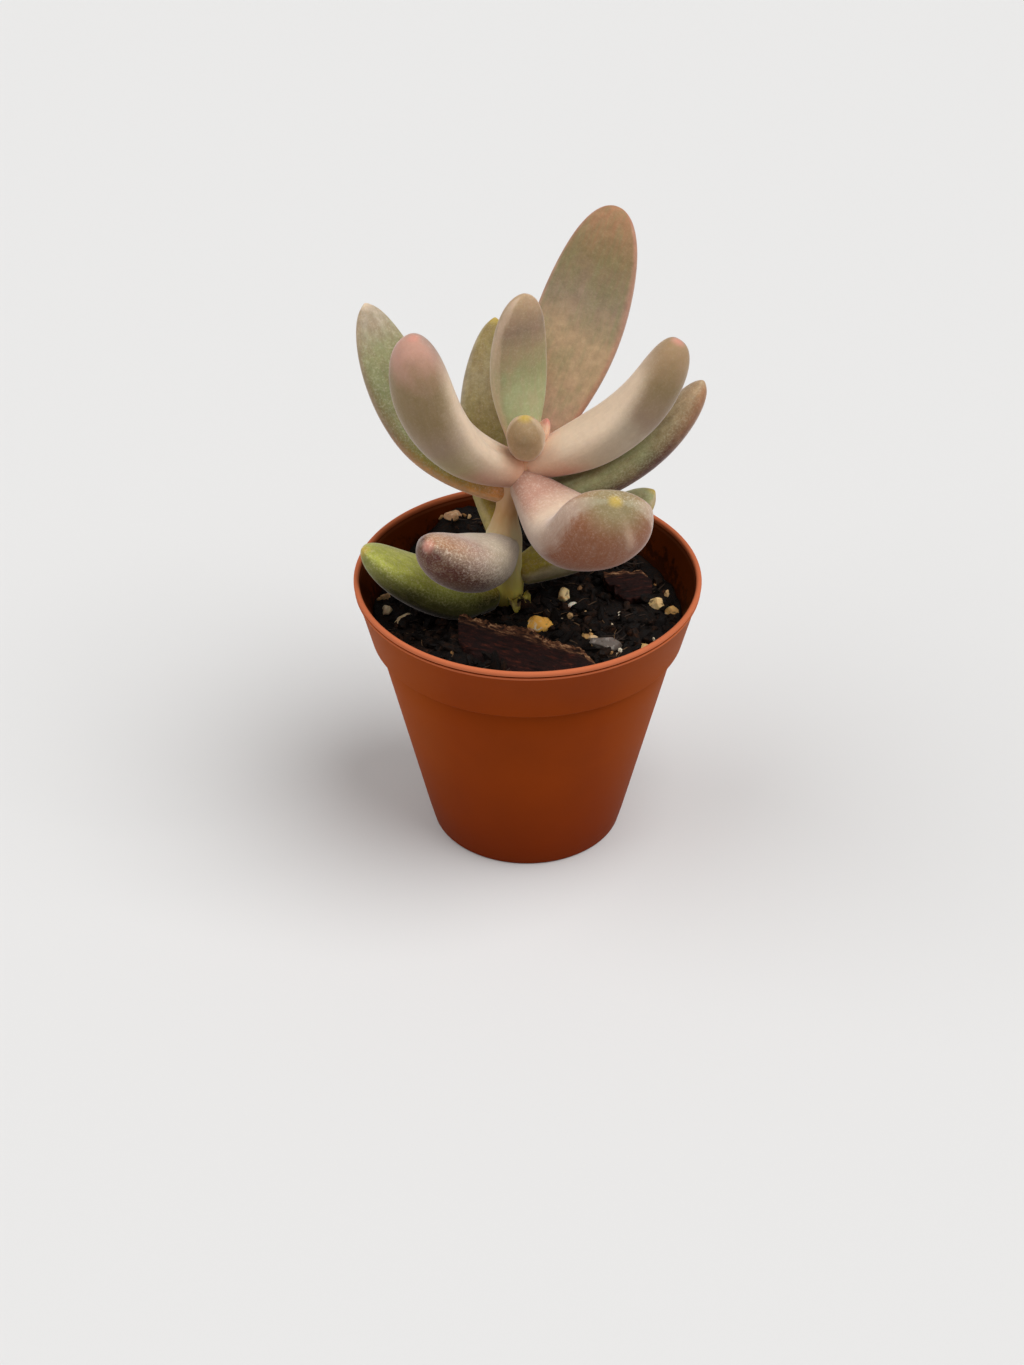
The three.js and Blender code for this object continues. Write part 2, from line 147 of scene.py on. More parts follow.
# Leaves, innermost first, with the CAD's own sizes. Each leaves the stem at a height, starts this
# far out from its axis, heads off at an azimuth, and rises from its first angle to its last over the
# stretch that bend gives. Twist rolls it from its first angle at the stem to its last at the tip.
# Hollow is how deep its upper face is dished, and point is the length of its small point. The back,
# the right outer and the rear left leaf are up to 0.15 mm shorter, and the back one has no point, so
# that the finer skins stay inside the CAD's box.
Leaf = namedtuple(
    "Leaf", "height start azimuth rise bend sweep twist length width thickness widest neck blunt hollow point"
)
LEAVES = {
    "leaf_bud": Leaf(78.5, 0, 262, (52, 80), (0, 1), 0, (0, 0), 10.5, 7, 6.2, 0.48, 0.64, 2.2, 0, 0.2),
    "bud_sliver": Leaf(78.5, 0, 20, (50, 65), (0, 1), 0, (0, 0), 7, 4, 2.4, 0.45, 0.5, 2, 0, 0.15),
    "leaf_front": Leaf(
        73.5, 0.2, -50, (-22, 70), (0, 1.15), -10.5, (15, -24), 35, 18.6, 12.9, 0.66, 0.3, 3, 1.5, 0.5
    ),
    "leaf_right_club": Leaf(
        75.5, 0, -3, (27, 63), (0.15, 0.9), -2, (5, 5), 39.5, 11, 10, 0.42, 0.46, 2.7, 0.5, 0.2
    ),
    "leaf_left_club": Leaf(
        75, 0, 202, (18.5, 77), (-0.18, 0.88), 4.3, (2, 2), 39.2, 14.2, 11.3, 0.57, 0.42, 2.5, 0.7, 0.2
    ),
    "leaf_centre_upright": Leaf(
        77.5, 0, 106, (56, 104), (-0.2, 0.95), 5, (16, 16), 32.5, 11.4, 7, 0.5, 0.44, 2.1, 0.4, 0.3
    ),
    "leaf_back_broad": Leaf(
        74.5, 0.2, 52, (48, 67), (-0.4, 1.4), -2, (16, 16), 50.85, 17.2, 7.5, 0.55, 0.38, 2.1, 1, 0
    ),
    "leaf_left_outer": Leaf(
        69.5, -0.5, 151, (-10, 68), (-0.45, 1), -6, (-30, -30), 46.5, 12.8, 8, 0.48, 0.32, 1.9, 0.8, 0.3
    ),
    "leaf_right_outer": Leaf(
        68.5, 0.3, 11.2, (-4.5, 61), (-0.4, 1.3), -3, (-10.5, -10.5), 43, 11.1, 8.4, 0.47, 0.4, 2.15,
        0.6, 0.3,
    ),
    "leaf_rear_left": Leaf(
        61, 0, 104, (20, 66), (-0.2, 1.1), -24, (18, 18), 42.9, 12, 9, 0.55, 0.45, 1.8, 0.5, 0.3
    ),
    "leaf_low_left": Leaf(
        58.6, 0.3, 248, (14.5, 42.5), (-0.13, 1.16), -19.5, (2, 2), 29.2, 14, 10.9, 0.45, 0.49, 2.2, 0.5, 0.4
    ),
    "leaf_low_right": Leaf(
        52, 1.8, 18.7, (15, 31), (-0.23, 1.22), 4.5, (2, 2), 30.5, 11.8, 7.9, 0.45, 0.49, 2.05, 0.4, 0.3
    ),
    "leaf_low_green": Leaf(
        48.5, 1.8, 197.7, (-2.5, 41), (-0.42, 0.94), -1, (-7, -7), 30, 13.9, 8.3, 0.34, 0.5, 2.1, 0.5, 0.3
    ),
}
LEAF_STEPS = 96

# Folds along a leaf: the angle round it, where it starts and ends, how far it stands up as a keel,
# or sinks in when below zero, and how many degrees it spreads
Fold = namedtuple("Fold", "angle start end depth width")
FOLDS = {
    "leaf_front": Fold(287, 0.84, 1.02, 0.6, 7),
    "leaf_left_club": Fold(58, 0.08, 0.42, -0.6, 9),
}
# A standing keel is tinted pale by this share of its rise, partly its own paler skin and partly a painted
# highlight along the ridge
KEEL_SHARE = 0.35

# A leaf's section is fuller below than above, and its breadth swells from the neck to the widest place.
# Its pattern lies apart from the other leaves', so that no two share a piece of it.
UPPER_SHARE = 0.8
BELLY_SHARE = 1.2
SECTION_POWER = 0.9
THICK_NECK = 0.6
START_ROUND = 0.05
SWELL_POWER = 1.3
POINT_SPREAD = 0.7
POINT_START = 0.8
UNEVEN = 0.03
PATTERN_STEP = 60
POLE = 1e-6

# Tints that this plant's skin takes with age, sun and shade. Peach, amber and citron, which lie mostly
# near the stem, are painted lighter than the skin's own colour, as painted light for the glow in the
# rosette's shaded heart, and the darkest green, on the low green leaf's belly, is painted shade
TINTS = {
    "peach": "#E3B598", "rose": "#CE9180", "blush": "#C4736A", "amber": "#DC9458",
    "shell": "#DCC3AB", "cream": "#E0C9AF", "chalk": "#EADFCE", "frost": "#BDAE98",
    "mauve": "#A98C7E", "dusk": "#BC907E", "clay": "#A08462", "drab": "#8A7553",
    "tan": "#B59978", "khaki": "#A39470", "taupe": "#95806A", "bronze": "#876E4C",
    "sienna": "#A67A5A", "rust": "#8A5C42", "russet": "#885032", "umber": "#4A2516",
    "maroon": "#57302A", "celadon": "#AEB588", "sage": "#9C9D72", "lichen": "#84865E",
    "moss": "#7F8040", "olive": "#85762E", "dill": "#9A8A54", "citron": "#B8A63C",
    "lime": "#B8BC54", "fern": "#2B2B10", "straw": "#C4A850",
}

# Colours of each leaf's skin, by the names above. Face and belly run from the stem to the tip. The
# face looks out at this many degrees from the upper side. It ends where edge says, at the stem and at
# the tip, from -1, all round, to 1. Patch is the tint of its blotches and streaks, and flush is the
# tint of its margins. Powder is how thick the pale wax lies, and grain is how far it is rubbed into
# specks. Spot is the tint of the tip, and halo, where there is one, is the tint of a wider stretch
# round it.
Skin = namedtuple(
    "Skin", "face belly look edge patch patch_share flush flush_share powder grain spot halo",
    defaults=(None,),
)
SKINS = {
    "leaf_bud": Skin(
        "peach cream tan clay", "peach tan clay clay", 0, (0.2, 0.2),
        "khaki", 0.25, "cream", 0.4, 0.25, 0.3, "straw",
    ),
    "bud_sliver": Skin(
        "rose peach peach", "rose peach peach", 0, (0, 0),
        "cream", 0.2, "cream", 0.3, 0.2, 0.1, "blush",
    ),
    "leaf_front": Skin(
        "dusk dusk shell shell mauve sienna",
        "dusk mauve mauve russet russet rust", 15, (0, 0),
        "mauve", 0.15, "chalk", 0.3, 0.4, 0.3, "straw", "lichen",
    ),
    "leaf_right_club": Skin(
        "peach cream cream cream cream clay",
        "dusk dusk frost frost taupe drab clay", 10, (-0.6, 0.9),
        "mauve", 0.12, "chalk", 0.0, 0.15, 0.15, "rose",
    ),
    "leaf_left_club": Skin(
        "peach cream cream cream cream mauve",
        "dusk dusk khaki taupe drab drab dusk", 5, (-0.4, 0.6),
        "mauve", 0.12, "chalk", 0.0, 0.15, 0.15, "rose",
    ),
    "leaf_centre_upright": Skin(
        "peach celadon celadon sage khaki taupe tan", "rose sage khaki tan",
        0, (-0.3, -0.3), "dusk", 0.2, "shell", 0.5, 0.15, 0.3, "tan",
    ),
    "leaf_back_broad": Skin(
        "peach dusk tan tan taupe drab sienna",
        "rose khaki bronze sienna", 0, (-0.3, -0.3),
        "lichen", 0.4, "rose", 0.5, 0.05, 0.5, "sienna",
    ),
    "leaf_left_outer": Skin(
        "amber olive moss lichen lichen sage frost",
        "amber amber russet bronze tan", -20, (0.1, 0),
        "bronze", 0.4, "frost", 0.3, 0.25, 0.8, "cream",
    ),
    "leaf_right_outer": Skin(
        "moss celadon sage sage khaki tan",
        "maroon maroon maroon sienna", -25, (-0.2, 0.35),
        "bronze", 0.45, "khaki", 0.0, 0.2, 0.8, "tan",
    ),
    "leaf_rear_left": Skin(
        "citron dill dill khaki dill", "citron citron dill dill", 0, (0, 0),
        "bronze", 0.5, "frost", 0.4, 0.15, 0.5, "straw",
    ),
    "leaf_low_left": Skin(
        "frost frost frost mauve sienna", "mauve umber umber maroon", 20, (-0.7, 0.5),
        "drab", 0.25, "frost", 0.2, 0.6, 1.2, "rose",
    ),
    "leaf_low_right": Skin(
        "citron olive moss sage", "moss moss moss straw", 0, (0.2, 0.2),
        "bronze", 0.45, "frost", 0.5, 0.2, 0.7, "straw",
    ),
    # The dark green of its belly is painted shade
    "leaf_low_green": Skin(
        "citron lime lime lime lime lime", "fern fern fern moss", -12, (0.6, 0),
        "moss", 0.4, "moss", 0.3, 0.35, 0.9, "straw",
    ),
}

# How softly a leaf's face turns into its belly, and how far the tint of its tip reaches
EDGE_SOFT = 0.5
SPOT_RADIUS = 1.9
HALO_RADIUS = 8.0

# Stones: place, half sizes along x, y and z, and colours of the rock and its veins
Stone = namedtuple("Stone", "x y half colour vein")
STONES = {
    "stone_orange": Stone(2.2, -4.6, (2.6, 1.8, 1.8), "#FFBC50", "#FFF8E6"),
    "stone_white": Stone(8.6, 1.4, (1.0, 0.9, 0.8), "#F2E8D6", "#D9C29A"),
    "stone_cream": Stone(6.9, 4.7, (1.1, 1.2, 1.3), "#F0D49A", "#D08A3A"),
    "stone_pale_right": Stone(24.1, 2.4, (1.6, 1.3, 1.2), "#EAC486", "#F7E6C0"),
    "stone_wall_right": Stone(27.0, 0.2, (1.5, 1.1, 1.0), "#CFA05C", "#EBC998"),
    "stone_grey": Stone(14.3, -11.6, (2.6, 1.8, 1.3), "#6B6058", "#A39A90"),
    "stone_small_front": Stone(11.2, -8.2, (1.1, 0.9, 0.8), "#D6A766", "#E8CDA0"),
    "stone_front_right": Stone(21.5, -11.9, (1.4, 1.0, 0.9), "#CFA565", "#E9D2A4"),
    "stone_left": Stone(-23.0, -3.7, (1.8, 1.4, 1.1), "#DCBE92", "#F0E0C2"),
    "stone_left_small": Stone(-26.5, -0.5, (1.0, 1.2, 0.9), "#D6BC94", "#EADABA"),
    "stone_left_far": Stone(-26.6, 4.5, (1.2, 0.9, 0.9), "#C69F70", "#DDC09A"),
    "stone_back_left": Stone(-14.5, 24.0, (1.5, 1.1, 1.0), "#C39870", "#E0C39C"),
}

# A stone's middle lies this share of its half height above the soil. It is a ball with flat cuts at
# these shares of its radius, swelled to make up for them, and a little rough.
STONE_LIFT = 0.25
STONE_FACETS = 15
FACET_DEPTHS = (0.5, 0.92)
FACET_FLATNESS = 0.94
STONE_SWELL = 1.25
STONE_ROUGH = 0.09

# Small grains that catch the eye: place, size, and shade from rust, 0, over straw to white, 1
GRAINS = (
    (8.0, -1.6, 0.75, 0.62), (10.0, 7.0, 0.6, 0.2), (10.9, 0.3, 0.3, 0.7), (17.8, -1.1, 0.75, 1.0),
    (11.1, -7.2, 0.5, 0.7), (12.2, -8.8, 0.6, 0.75), (12.4, -11.3, 0.5, 0.6), (17.1, -13.7, 0.45, 1.0),
    (26.6, 5.4, 0.8, 0.68), (24.4, 9.6, 0.35, 0.3), (-28.2, 3.4, 0.5, 0.6), (-24.6, -2.4, 0.7, 0.8),
    (-16.8, 25.4, 0.7, 0.5), (-12.4, 24.6, 0.45, 0.3), (15.4, -9.6, 0.3, 0.9), (4.4, 12.2, 0.5, 0.5),
)

# Bark chips: middle, how far it is lifted, half sizes, turn, tilt of the back edge, arch, and how far
# its torn back edge stands up. The ends narrow, the left one is broken off, and its back corner juts
# out and up.
Chip = namedtuple("Chip", "x y lift half turn tilt arch rim")
CHIPS = {
    "bark_front": Chip(-0.5, -16.6, 0.4, (14.0, 5.6, 1.1), -24, 27, 1.2, 1.0),
    "bark_back": Chip(19.4, 6.4, 0.9, (4.2, 3.8, 1.2), 12, 14, 0.4, 0.3),
}
CHIP_NARROW = {"share": 0.45, "power": 3}
CHIP_WAVES = {"share": 0.06, "along_x": 5, "along_y": 2}
CHIP_BOW = 0.06
CHIP_CUT = 0.22
CHIP_HANG = 0.5
CHIP_WANDER = (0.6, 0.9)
CHIP_RIDGES = (0.3, 0.12)
CHIP_CORNER = {"out": 1.4, "up": 1.6}
CHIP_CUTS = (90, 36, 6)

# The photograph's camera, in front of the plant and above it, and how far it dips and turns
CAMERA_PLACE = (0.0, -407.6, 319.7)
CAMERA_DIP = 35.4
CAMERA_YAW = 0.41
SENSOR_HEIGHT = 36.0
LENS = 68.57

# Soft lights: the way that each one lies, its share of the main light, and how wide it is in degrees
LIGHTS = (
    ("light_right", (0.5, -0.2, 1.0), 1.0, 50),
    ("light_left", (-0.9, -0.1, 1.0), 0.45, 60),
)


class PotSettings(bpy.types.PropertyGroup):
    """Sizes and colours of the nursery pot"""

    bead: FloatProperty(
        name="Lip bead", description="Radius of the rolled bead on the lip",
        default=0.52 * MM, min=0.3 * MM, max=0.6 * MM, unit="LENGTH",
    )
    under_bead: FloatProperty(
        name="Lower bead", description="Radius of the thin bead under the lip",
        default=0.24 * MM, min=0.1 * MM, max=0.4 * MM, unit="LENGTH",
    )
    plastic: FloatVectorProperty(
        name="Plastic", description="Colour of the moulded plastic",
        subtype="COLOR", size=4, default=linear("#8C3805"), min=0, max=1,
    )
    # Painted highlight: the colour of the pot's sides, lighter and yellower, standing in for light glancing
    # off them
    painted_side_highlight: FloatVectorProperty(
        name="Faded plastic", description="Colour of the plastic at its sides, where the sun reached it",
        subtype="COLOR", size=4, default=linear("#A04C0C"), min=0, max=1,
    )
    # The lip's colour stands partly for wear and partly for a painted highlight
    lip: FloatVectorProperty(
        name="Lip", description="Colour of the thin lip, scuffed paler than the rest",
        subtype="COLOR", size=4, default=linear("#C06A46"), min=0, max=1,
    )
    roughness: FloatProperty(
        name="Roughness", description="Roughness of the moulded surface",
        default=0.5, min=0, max=1, subtype="FACTOR",
    )


class SoilSettings(bpy.types.PropertyGroup):
    """Sizes, amounts and colours of the peat and what lies in it"""

    clod: FloatProperty(
        name="Clod height", description="Height of the peat's clods above its own level",
        default=0.75 * MM, min=0, max=2 * MM, unit="LENGTH",
    )
    crumbs: IntProperty(
        name="Crumbs", description="How many loose crumbs of peat lie on top",
        default=900, min=0, max=2000,
    )
    fibres: IntProperty(
        name="Fibres", description="How many root fibres lie on top",
        default=260, min=0, max=600,
    )
    grit: IntProperty(
        name="Loose grit", description="How many small grains of grit lie on top",
        default=70, min=0, max=300,
    )
    dark: FloatVectorProperty(
        name="Moist peat", description="Colour of the moist peat",
        subtype="COLOR", size=4, default=linear("#0E0907"), min=0, max=1,
    )
    light: FloatVectorProperty(
        name="Dry peat", description="Colour of the dry flecks in the peat",
        subtype="COLOR", size=4, default=linear("#2E1D13"), min=0, max=1,
    )


class PlantSettings(bpy.types.PropertyGroup):
    """Fineness and finish of the leaves and the stem"""

    around: IntProperty(
        name="Leaf sides", description="Faces around each leaf", default=72, min=12, max=128,
    )
    along: IntProperty(
        name="Leaf rings", description="Faces along each leaf", default=84, min=12, max=160,
    )
    powder: FloatProperty(
        name="Powder", description="How much pale wax lies on every leaf, as a share of its own amount",
        default=1.0, min=0, max=2, subtype="FACTOR",
    )
    # Painted lighter than the stem's own skin, as painted light where the leaves shade it
    stem_skin: FloatVectorProperty(
        name="Stem", description="Colour of the stem's green skin",
        subtype="COLOR", size=4, default=linear("#DED2A4"), min=0, max=1,
    )
    bark: FloatVectorProperty(
        name="Bark", description="Colour of the bark chips' outer face",
        subtype="COLOR", size=4, default=linear("#270F0B"), min=0, max=1,
    )


class StageSettings(bpy.types.PropertyGroup):
    """Floor and light"""

    floor: FloatVectorProperty(
        name="Floor", description="Colour of the plain floor",
        subtype="COLOR", size=4, default=linear("#D6D6D6"), min=0, max=1,
    )
    key: FloatProperty(
        name="Main light", description="Strength of the wide soft lights", default=2.36, min=0,
    )
    sky: FloatProperty(
        name="Room light", description="Strength of the light from all around", default=0.32, min=0,
    )


def smoothstep(low, high, value):
    share = min(max((value - low) / (high - low), 0.0), 1.0)
    return share * share * (3.0 - 2.0 * share)


def lerp(low, high, share):
    return low + (high - low) * share


def fill(tree, made, inputs):
    """Set each input of a node to a value, or link it from a socket"""
    for key, value in inputs.items():
        if isinstance(value, bpy.types.NodeSocket):
            tree.links.new(value, made.inputs[key])
        else:
            made.inputs[key].default_value = value


def node(tree, kind, inputs=None, stops=(), out=0, **settings):
    """Add a node with its settings and links, and give one of its outputs, the first if no other is
    named. Stops are the places and colours of a ramp, in order."""
    made = tree.nodes.new(kind)
    for key, value in settings.items():
        setattr(made, key, value)
    fill(tree, made, inputs or {})
    if stops:
        elements = made.color_ramp.elements
        for place, _ in stops[1:-1]:
            elements.new(place)
        for element, (place, colour) in zip(elements, stops):
            element.position = place
            element.color = colour
    return made.outputs[out]


def new_material(name):
    """A material with its node tree and its shader, ready for nodes"""
    material = bpy.data.materials.new(name)
    material.use_nodes = True
    return material, material.node_tree, material.node_tree.nodes["Principled BSDF"]


def pattern_scale(size):
    """Scale of a noise whose marks are about this many millimetres across"""
    return 1.0 / (size * MM)


def add_object(name, data):
    """Add an object to the scene"""
    made = bpy.data.objects.new(name, data)
    bpy.context.scene.collection.objects.link(made)
    return made


def add_mesh(name, bm, *materials):
    """Add a mesh object made of what bm holds"""
    mesh = bpy.data.meshes.new(name)
    bm.to_mesh(mesh)
    bm.free()
    for material in materials:
        mesh.materials.append(material)
    return add_object(name, mesh)


def finish_piece(name, bm, material, nodes=(), smooth=True):
    """Make a mesh in millimetres a piece in metres that rides on the plant and pot"""
    bmesh.ops.recalc_face_normals(bm, faces=bm.faces[:])
    bmesh.ops.scale(bm, vec=(MM, MM, MM), verts=bm.verts[:])
    for face in bm.faces:
        face.smooth = smooth
    piece = add_mesh(name, bm, material)
    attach(piece, "root")
    if nodes:
        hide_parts(*nodes)
    return piece


def soil_height(x, y):
    """The CAD soil's own level at a place"""
    away = ((x - HEAP["x"]) ** 2 + (y - HEAP["y"]) ** 2) / HEAP["spread"] ** 2
    lumps = math.sin(LUMPS["along_x"] * x + LUMPS["start"]) * math.cos(LUMPS["along_y"] * y)
    ripples = math.sin(RIPPLES["along_x"] * x + RIPPLES["along_y"] * y)
    level = SOIL_LEVEL + HEAP["height"] * math.exp(-away)
    return level + LUMPS["height"] * lumps + RIPPLES["height"] * ripples


def body_radius(z):
    """Radius of the pot's outer wall at a height under the band"""
    return lerp(BASE_RADIUS, BODY_TOP_RADIUS, z / BAND_FOOT_HEIGHT)


def inside_radius(z):
    """Radius of the pot's inner wall at a height"""
    if z < INNER_STEP_HEIGHT:
        return body_radius(z) - WALL
    if z < BAND_FOOT_HEIGHT:
        step = (z - INNER_STEP_HEIGHT) / (BAND_FOOT_HEIGHT - INNER_STEP_HEIGHT)
        return lerp(body_radius(INNER_STEP_HEIGHT), BAND_FOOT_RADIUS, step) - WALL
    share = (z - BAND_FOOT_HEIGHT) / (POT_HEIGHT - BAND_FOOT_HEIGHT)
    return lerp(BAND_FOOT_RADIUS, BAND_TOP_RADIUS, share) - WALL


def arc(middle, radius, start, end, steps):
    """Points of an arc in the plane of radius and height, from one angle to another in degrees"""
    angles = [math.radians(lerp(start, end, step / steps)) for step in range(steps + 1)]
    return [(middle[0] + radius * math.cos(a), middle[1] + radius * math.sin(a)) for a in angles]


def spin_profile(bm, profile, turns):
    """Spin points of radius and height round the pot's axis into a closed skin"""
    verts = [bm.verts.new((radius, 0, height)) for radius, height in profile]
    edges = [bm.edges.new(pair) for pair in zip(verts, verts[1:])]
    bmesh.ops.spin(
        bm, geom=verts + edges, axis=UP, cent=(0, 0, 0), angle=2 * math.pi, steps=turns, use_merge=True
    )
    bmesh.ops.remove_doubles(bm, verts=bm.verts[:], dist=0.001)


# Materials. A noise lies round 0.5, and the sizes of patterns are in millimetres


def pot_plastic(settings):
    """Polypropylene, injection moulded: terracotta with a dull gloss, faint flow clouds from the mould
    and a fine grain, with a painted highlight that makes its sides lighter and yellower, painted shade
    towards its foot, and a lip that is paler from wear and from a painted highlight. The inner wall is
    darkened with painted shade, with peat dust just above the soil."""
    material, tree, shader = new_material("moulded_polypropylene")
    coords = node(tree, "ShaderNodeTexCoord", out="Object")
    clouds = node(tree, "ShaderNodeTexNoise", {"Vector": coords, "Scale": pattern_scale(14), "Detail": 3.0})
    shaded = tuple(0.88 * channel for channel in settings.plastic[:3]) + (1,)
    colour = node(tree, "ShaderNodeValToRGB", {"Fac": clouds}, [(0.3, shaded), (0.7, settings.plastic[:])])
    side, height = (node(tree, "ShaderNodeSeparateXYZ", {"Vector": coords}, out=axis) for axis in "XZ")
    sideways = node(tree, "ShaderNodeMath", {0: side}, operation="ABSOLUTE")
    # How far towards the sides the painted highlight reaches, how far up from the foot the painted shade
    # reaches, and where the lip lies
    painted_side_highlight, painted_foot_shade, near_top = (
        node(
            tree, "ShaderNodeMapRange",
            {"Value": place, "From Min": low * MM, "From Max": high * MM, "To Max": most},
        )
        for place, low, high, most in (
            (sideways, 13, 30, 0.8), (height, 26, 4, 0.5), (height, POT_HEIGHT - 2, POT_HEIGHT, 1.0),
        )
    )
    none, most, full = ((shade, shade, shade, 1) for shade in (0.0, 0.7, 1.0))
    # The lip's two beads are paler, partly from wear and partly from a painted highlight; the groove between
    # them is not
    wear_and_painted_highlight = node(
        tree, "ShaderNodeValToRGB", {"Fac": near_top},
        [(0.12, none), (0.2, most), (0.37, most), (0.41, none), (0.49, none), (0.54, full)],
    )
    inside = node(tree, "ShaderNodeAttribute", attribute_name="inner_wall", out="Fac")
    # Painted shade darkens the whole inner wall
    painted_inner_shade = node(tree, "ShaderNodeMath", {0: inside, 1: 0.7}, operation="MULTIPLY")
    smears = node(
        tree, "ShaderNodeTexNoise",
        {"Vector": coords, "Scale": pattern_scale(2.2), "Detail": 5.0, "Roughness": 0.7},
    )
    reach = node(
        tree, "ShaderNodeMath", {0: smears, 1: 20 * MM, 2: (SOIL_LEVEL - 7) * MM}, operation="MULTIPLY_ADD"
    )
    above = node(tree, "ShaderNodeMath", {0: reach, 1: height}, operation="SUBTRACT")
    dirty = node(tree, "ShaderNodeMapRange", {"Value": above, "From Min": -1.5 * MM, "From Max": 1.5 * MM})
    dirt = node(tree, "ShaderNodeMath", {0: dirty, 1: inside}, operation="MULTIPLY")
    dust = node(tree, "ShaderNodeMath", {0: dirt, 1: 0.65}, operation="MULTIPLY")
    # Layers over the plastic: painted highlight at the sides, painted shade at the foot, the lip's wear and
    # painted highlight, painted shade over the inner wall, and real peat dust
    for share, tint in (
        (painted_side_highlight, settings.painted_side_highlight[:]), (painted_foot_shade, linear("#621A03")), (wear_and_painted_highlight, settings.lip[:]),
        (painted_inner_shade, linear("#2E0F06")), (dust, linear("#150C08")),
    ):
        colour = node(tree, "ShaderNodeMix", {0: share, 6: colour, 7: tint}, out=2, data_type="RGBA")
    rough = node(
        tree, "ShaderNodeMapRange",
        {"Value": clouds, "To Min": settings.roughness - 0.05, "To Max": settings.roughness + 0.08},
    )
    grain = node(tree, "ShaderNodeTexNoise", {"Vector": coords, "Scale": pattern_scale(0.35), "Detail": 2.0})
    bump = node(tree, "ShaderNodeBump", {"Height": grain, "Strength": 0.25, "Distance": 0.02 * MM})
    fill(tree, shader, {
        "Base Color": colour, "Roughness": rough, "Normal": bump, "IOR": 1.49, "Specular IOR Level": 0.03,
    })
    return material


def peat(settings):
    """Moist sphagnum peat: crumbly and nearly black, so only dry flecks and wet glints are seen"""
    material, tree, shader = new_material("moist_peat")
    coords = node(tree, "ShaderNodeTexCoord", out="Object")
    shade = node(tree, "ShaderNodeAttribute", attribute_name="shade", out="Fac")
    crumbs, fine = (
        node(
            tree, "ShaderNodeTexNoise",
            {"Vector": coords, "Scale": pattern_scale(size), "Detail": detail, "Roughness": rough},
        )
        for size, detail, rough in ((1.1, 6.0, 0.72), (0.4, 5.0, 0.75))
    )
    mixed = node(tree, "ShaderNodeMath", {0: crumbs, 1: shade}, operation="ADD")
    colour = node(
        tree, "ShaderNodeValToRGB", {"Fac": mixed},
        [(0.5, settings.dark[:]), (0.7, settings.light[:]), (0.95, linear("#6E3F26"))],
    )
    wet = node(
        tree, "ShaderNodeMapRange",
        {"Value": crumbs, "From Min": 0.35, "From Max": 0.6, "To Min": 0.3, "To Max": 0.9},
    )
    bump = node(tree, "ShaderNodeBump", {"Height": fine, "Strength": 0.9, "Distance": 0.25 * MM})
    fill(tree, shader, {"Base Color": colour, "Roughness": wet, "Normal": bump, "Specular IOR Level": 0.15})
    return material


def shaded_bits(name, roughness, stops):
    """A dull material whose bits each have their own shade"""
    material, tree, shader = new_material(name)
    shade = node(tree, "ShaderNodeAttribute", attribute_name="shade", out="Fac")
    stops = [(place, linear(colour)) for place, colour in stops]
    colour = node(tree, "ShaderNodeValToRGB", {"Fac": shade}, stops)
    fill(tree, shader, {"Base Color": colour, "Roughness": roughness})
    return material


def dry_fibre():
    """Dry root hair and coir: straw brown and dull"""
    return shaded_bits("dry_root_fibre", 0.8, [(0.0, "#20140D"), (0.6, "#3D2A1B"), (1.0, "#7E5E3C")])


def loose_grit():
    """Crushed pumice and quartz in small grains, each with its own shade from rust over straw to white"""
    return shaded_bits(
        "loose_pumice_grit", 0.8, [(0.0, "#6B5040"), (0.35, "#A87844"), (0.7, "#CFA874"), (1.0, "#E9DCC2")]
    )


def grit(name, colour, vein):
    """Crushed pumice and quartz grit: broken faces, chalky, with paler veins and dark dirty patches"""
    material, tree, shader = new_material(name)
    coords = node(tree, "ShaderNodeTexCoord", out="Object")
    veins = node(
        tree, "ShaderNodeTexNoise",
        {"Vector": coords, "Scale": pattern_scale(1.3), "Detail": 5.0, "Roughness": 0.65, "Distortion": 0.6},
    )
    rock = node(
        tree, "ShaderNodeValToRGB", {"Fac": veins},
        [(0.3, linear("#3A281A")), (0.42, linear(colour)), (0.55, linear(colour)), (0.68, linear(vein))],
    )
    rough = node(
        tree, "ShaderNodeTexNoise",
        {"Vector": coords, "Scale": pattern_scale(0.35), "Detail": 4.0, "Roughness": 0.7},
    )
    bump = node(tree, "ShaderNodeBump", {"Height": rough, "Strength": 0.7, "Distance": 0.12 * MM})
    fill(tree, shader, {
        "Base Color": rock, "Normal": bump, "Roughness": 0.75,
        "Subsurface Weight": 0.1, "Subsurface Scale": 0.5 * MM,
    })
    return material


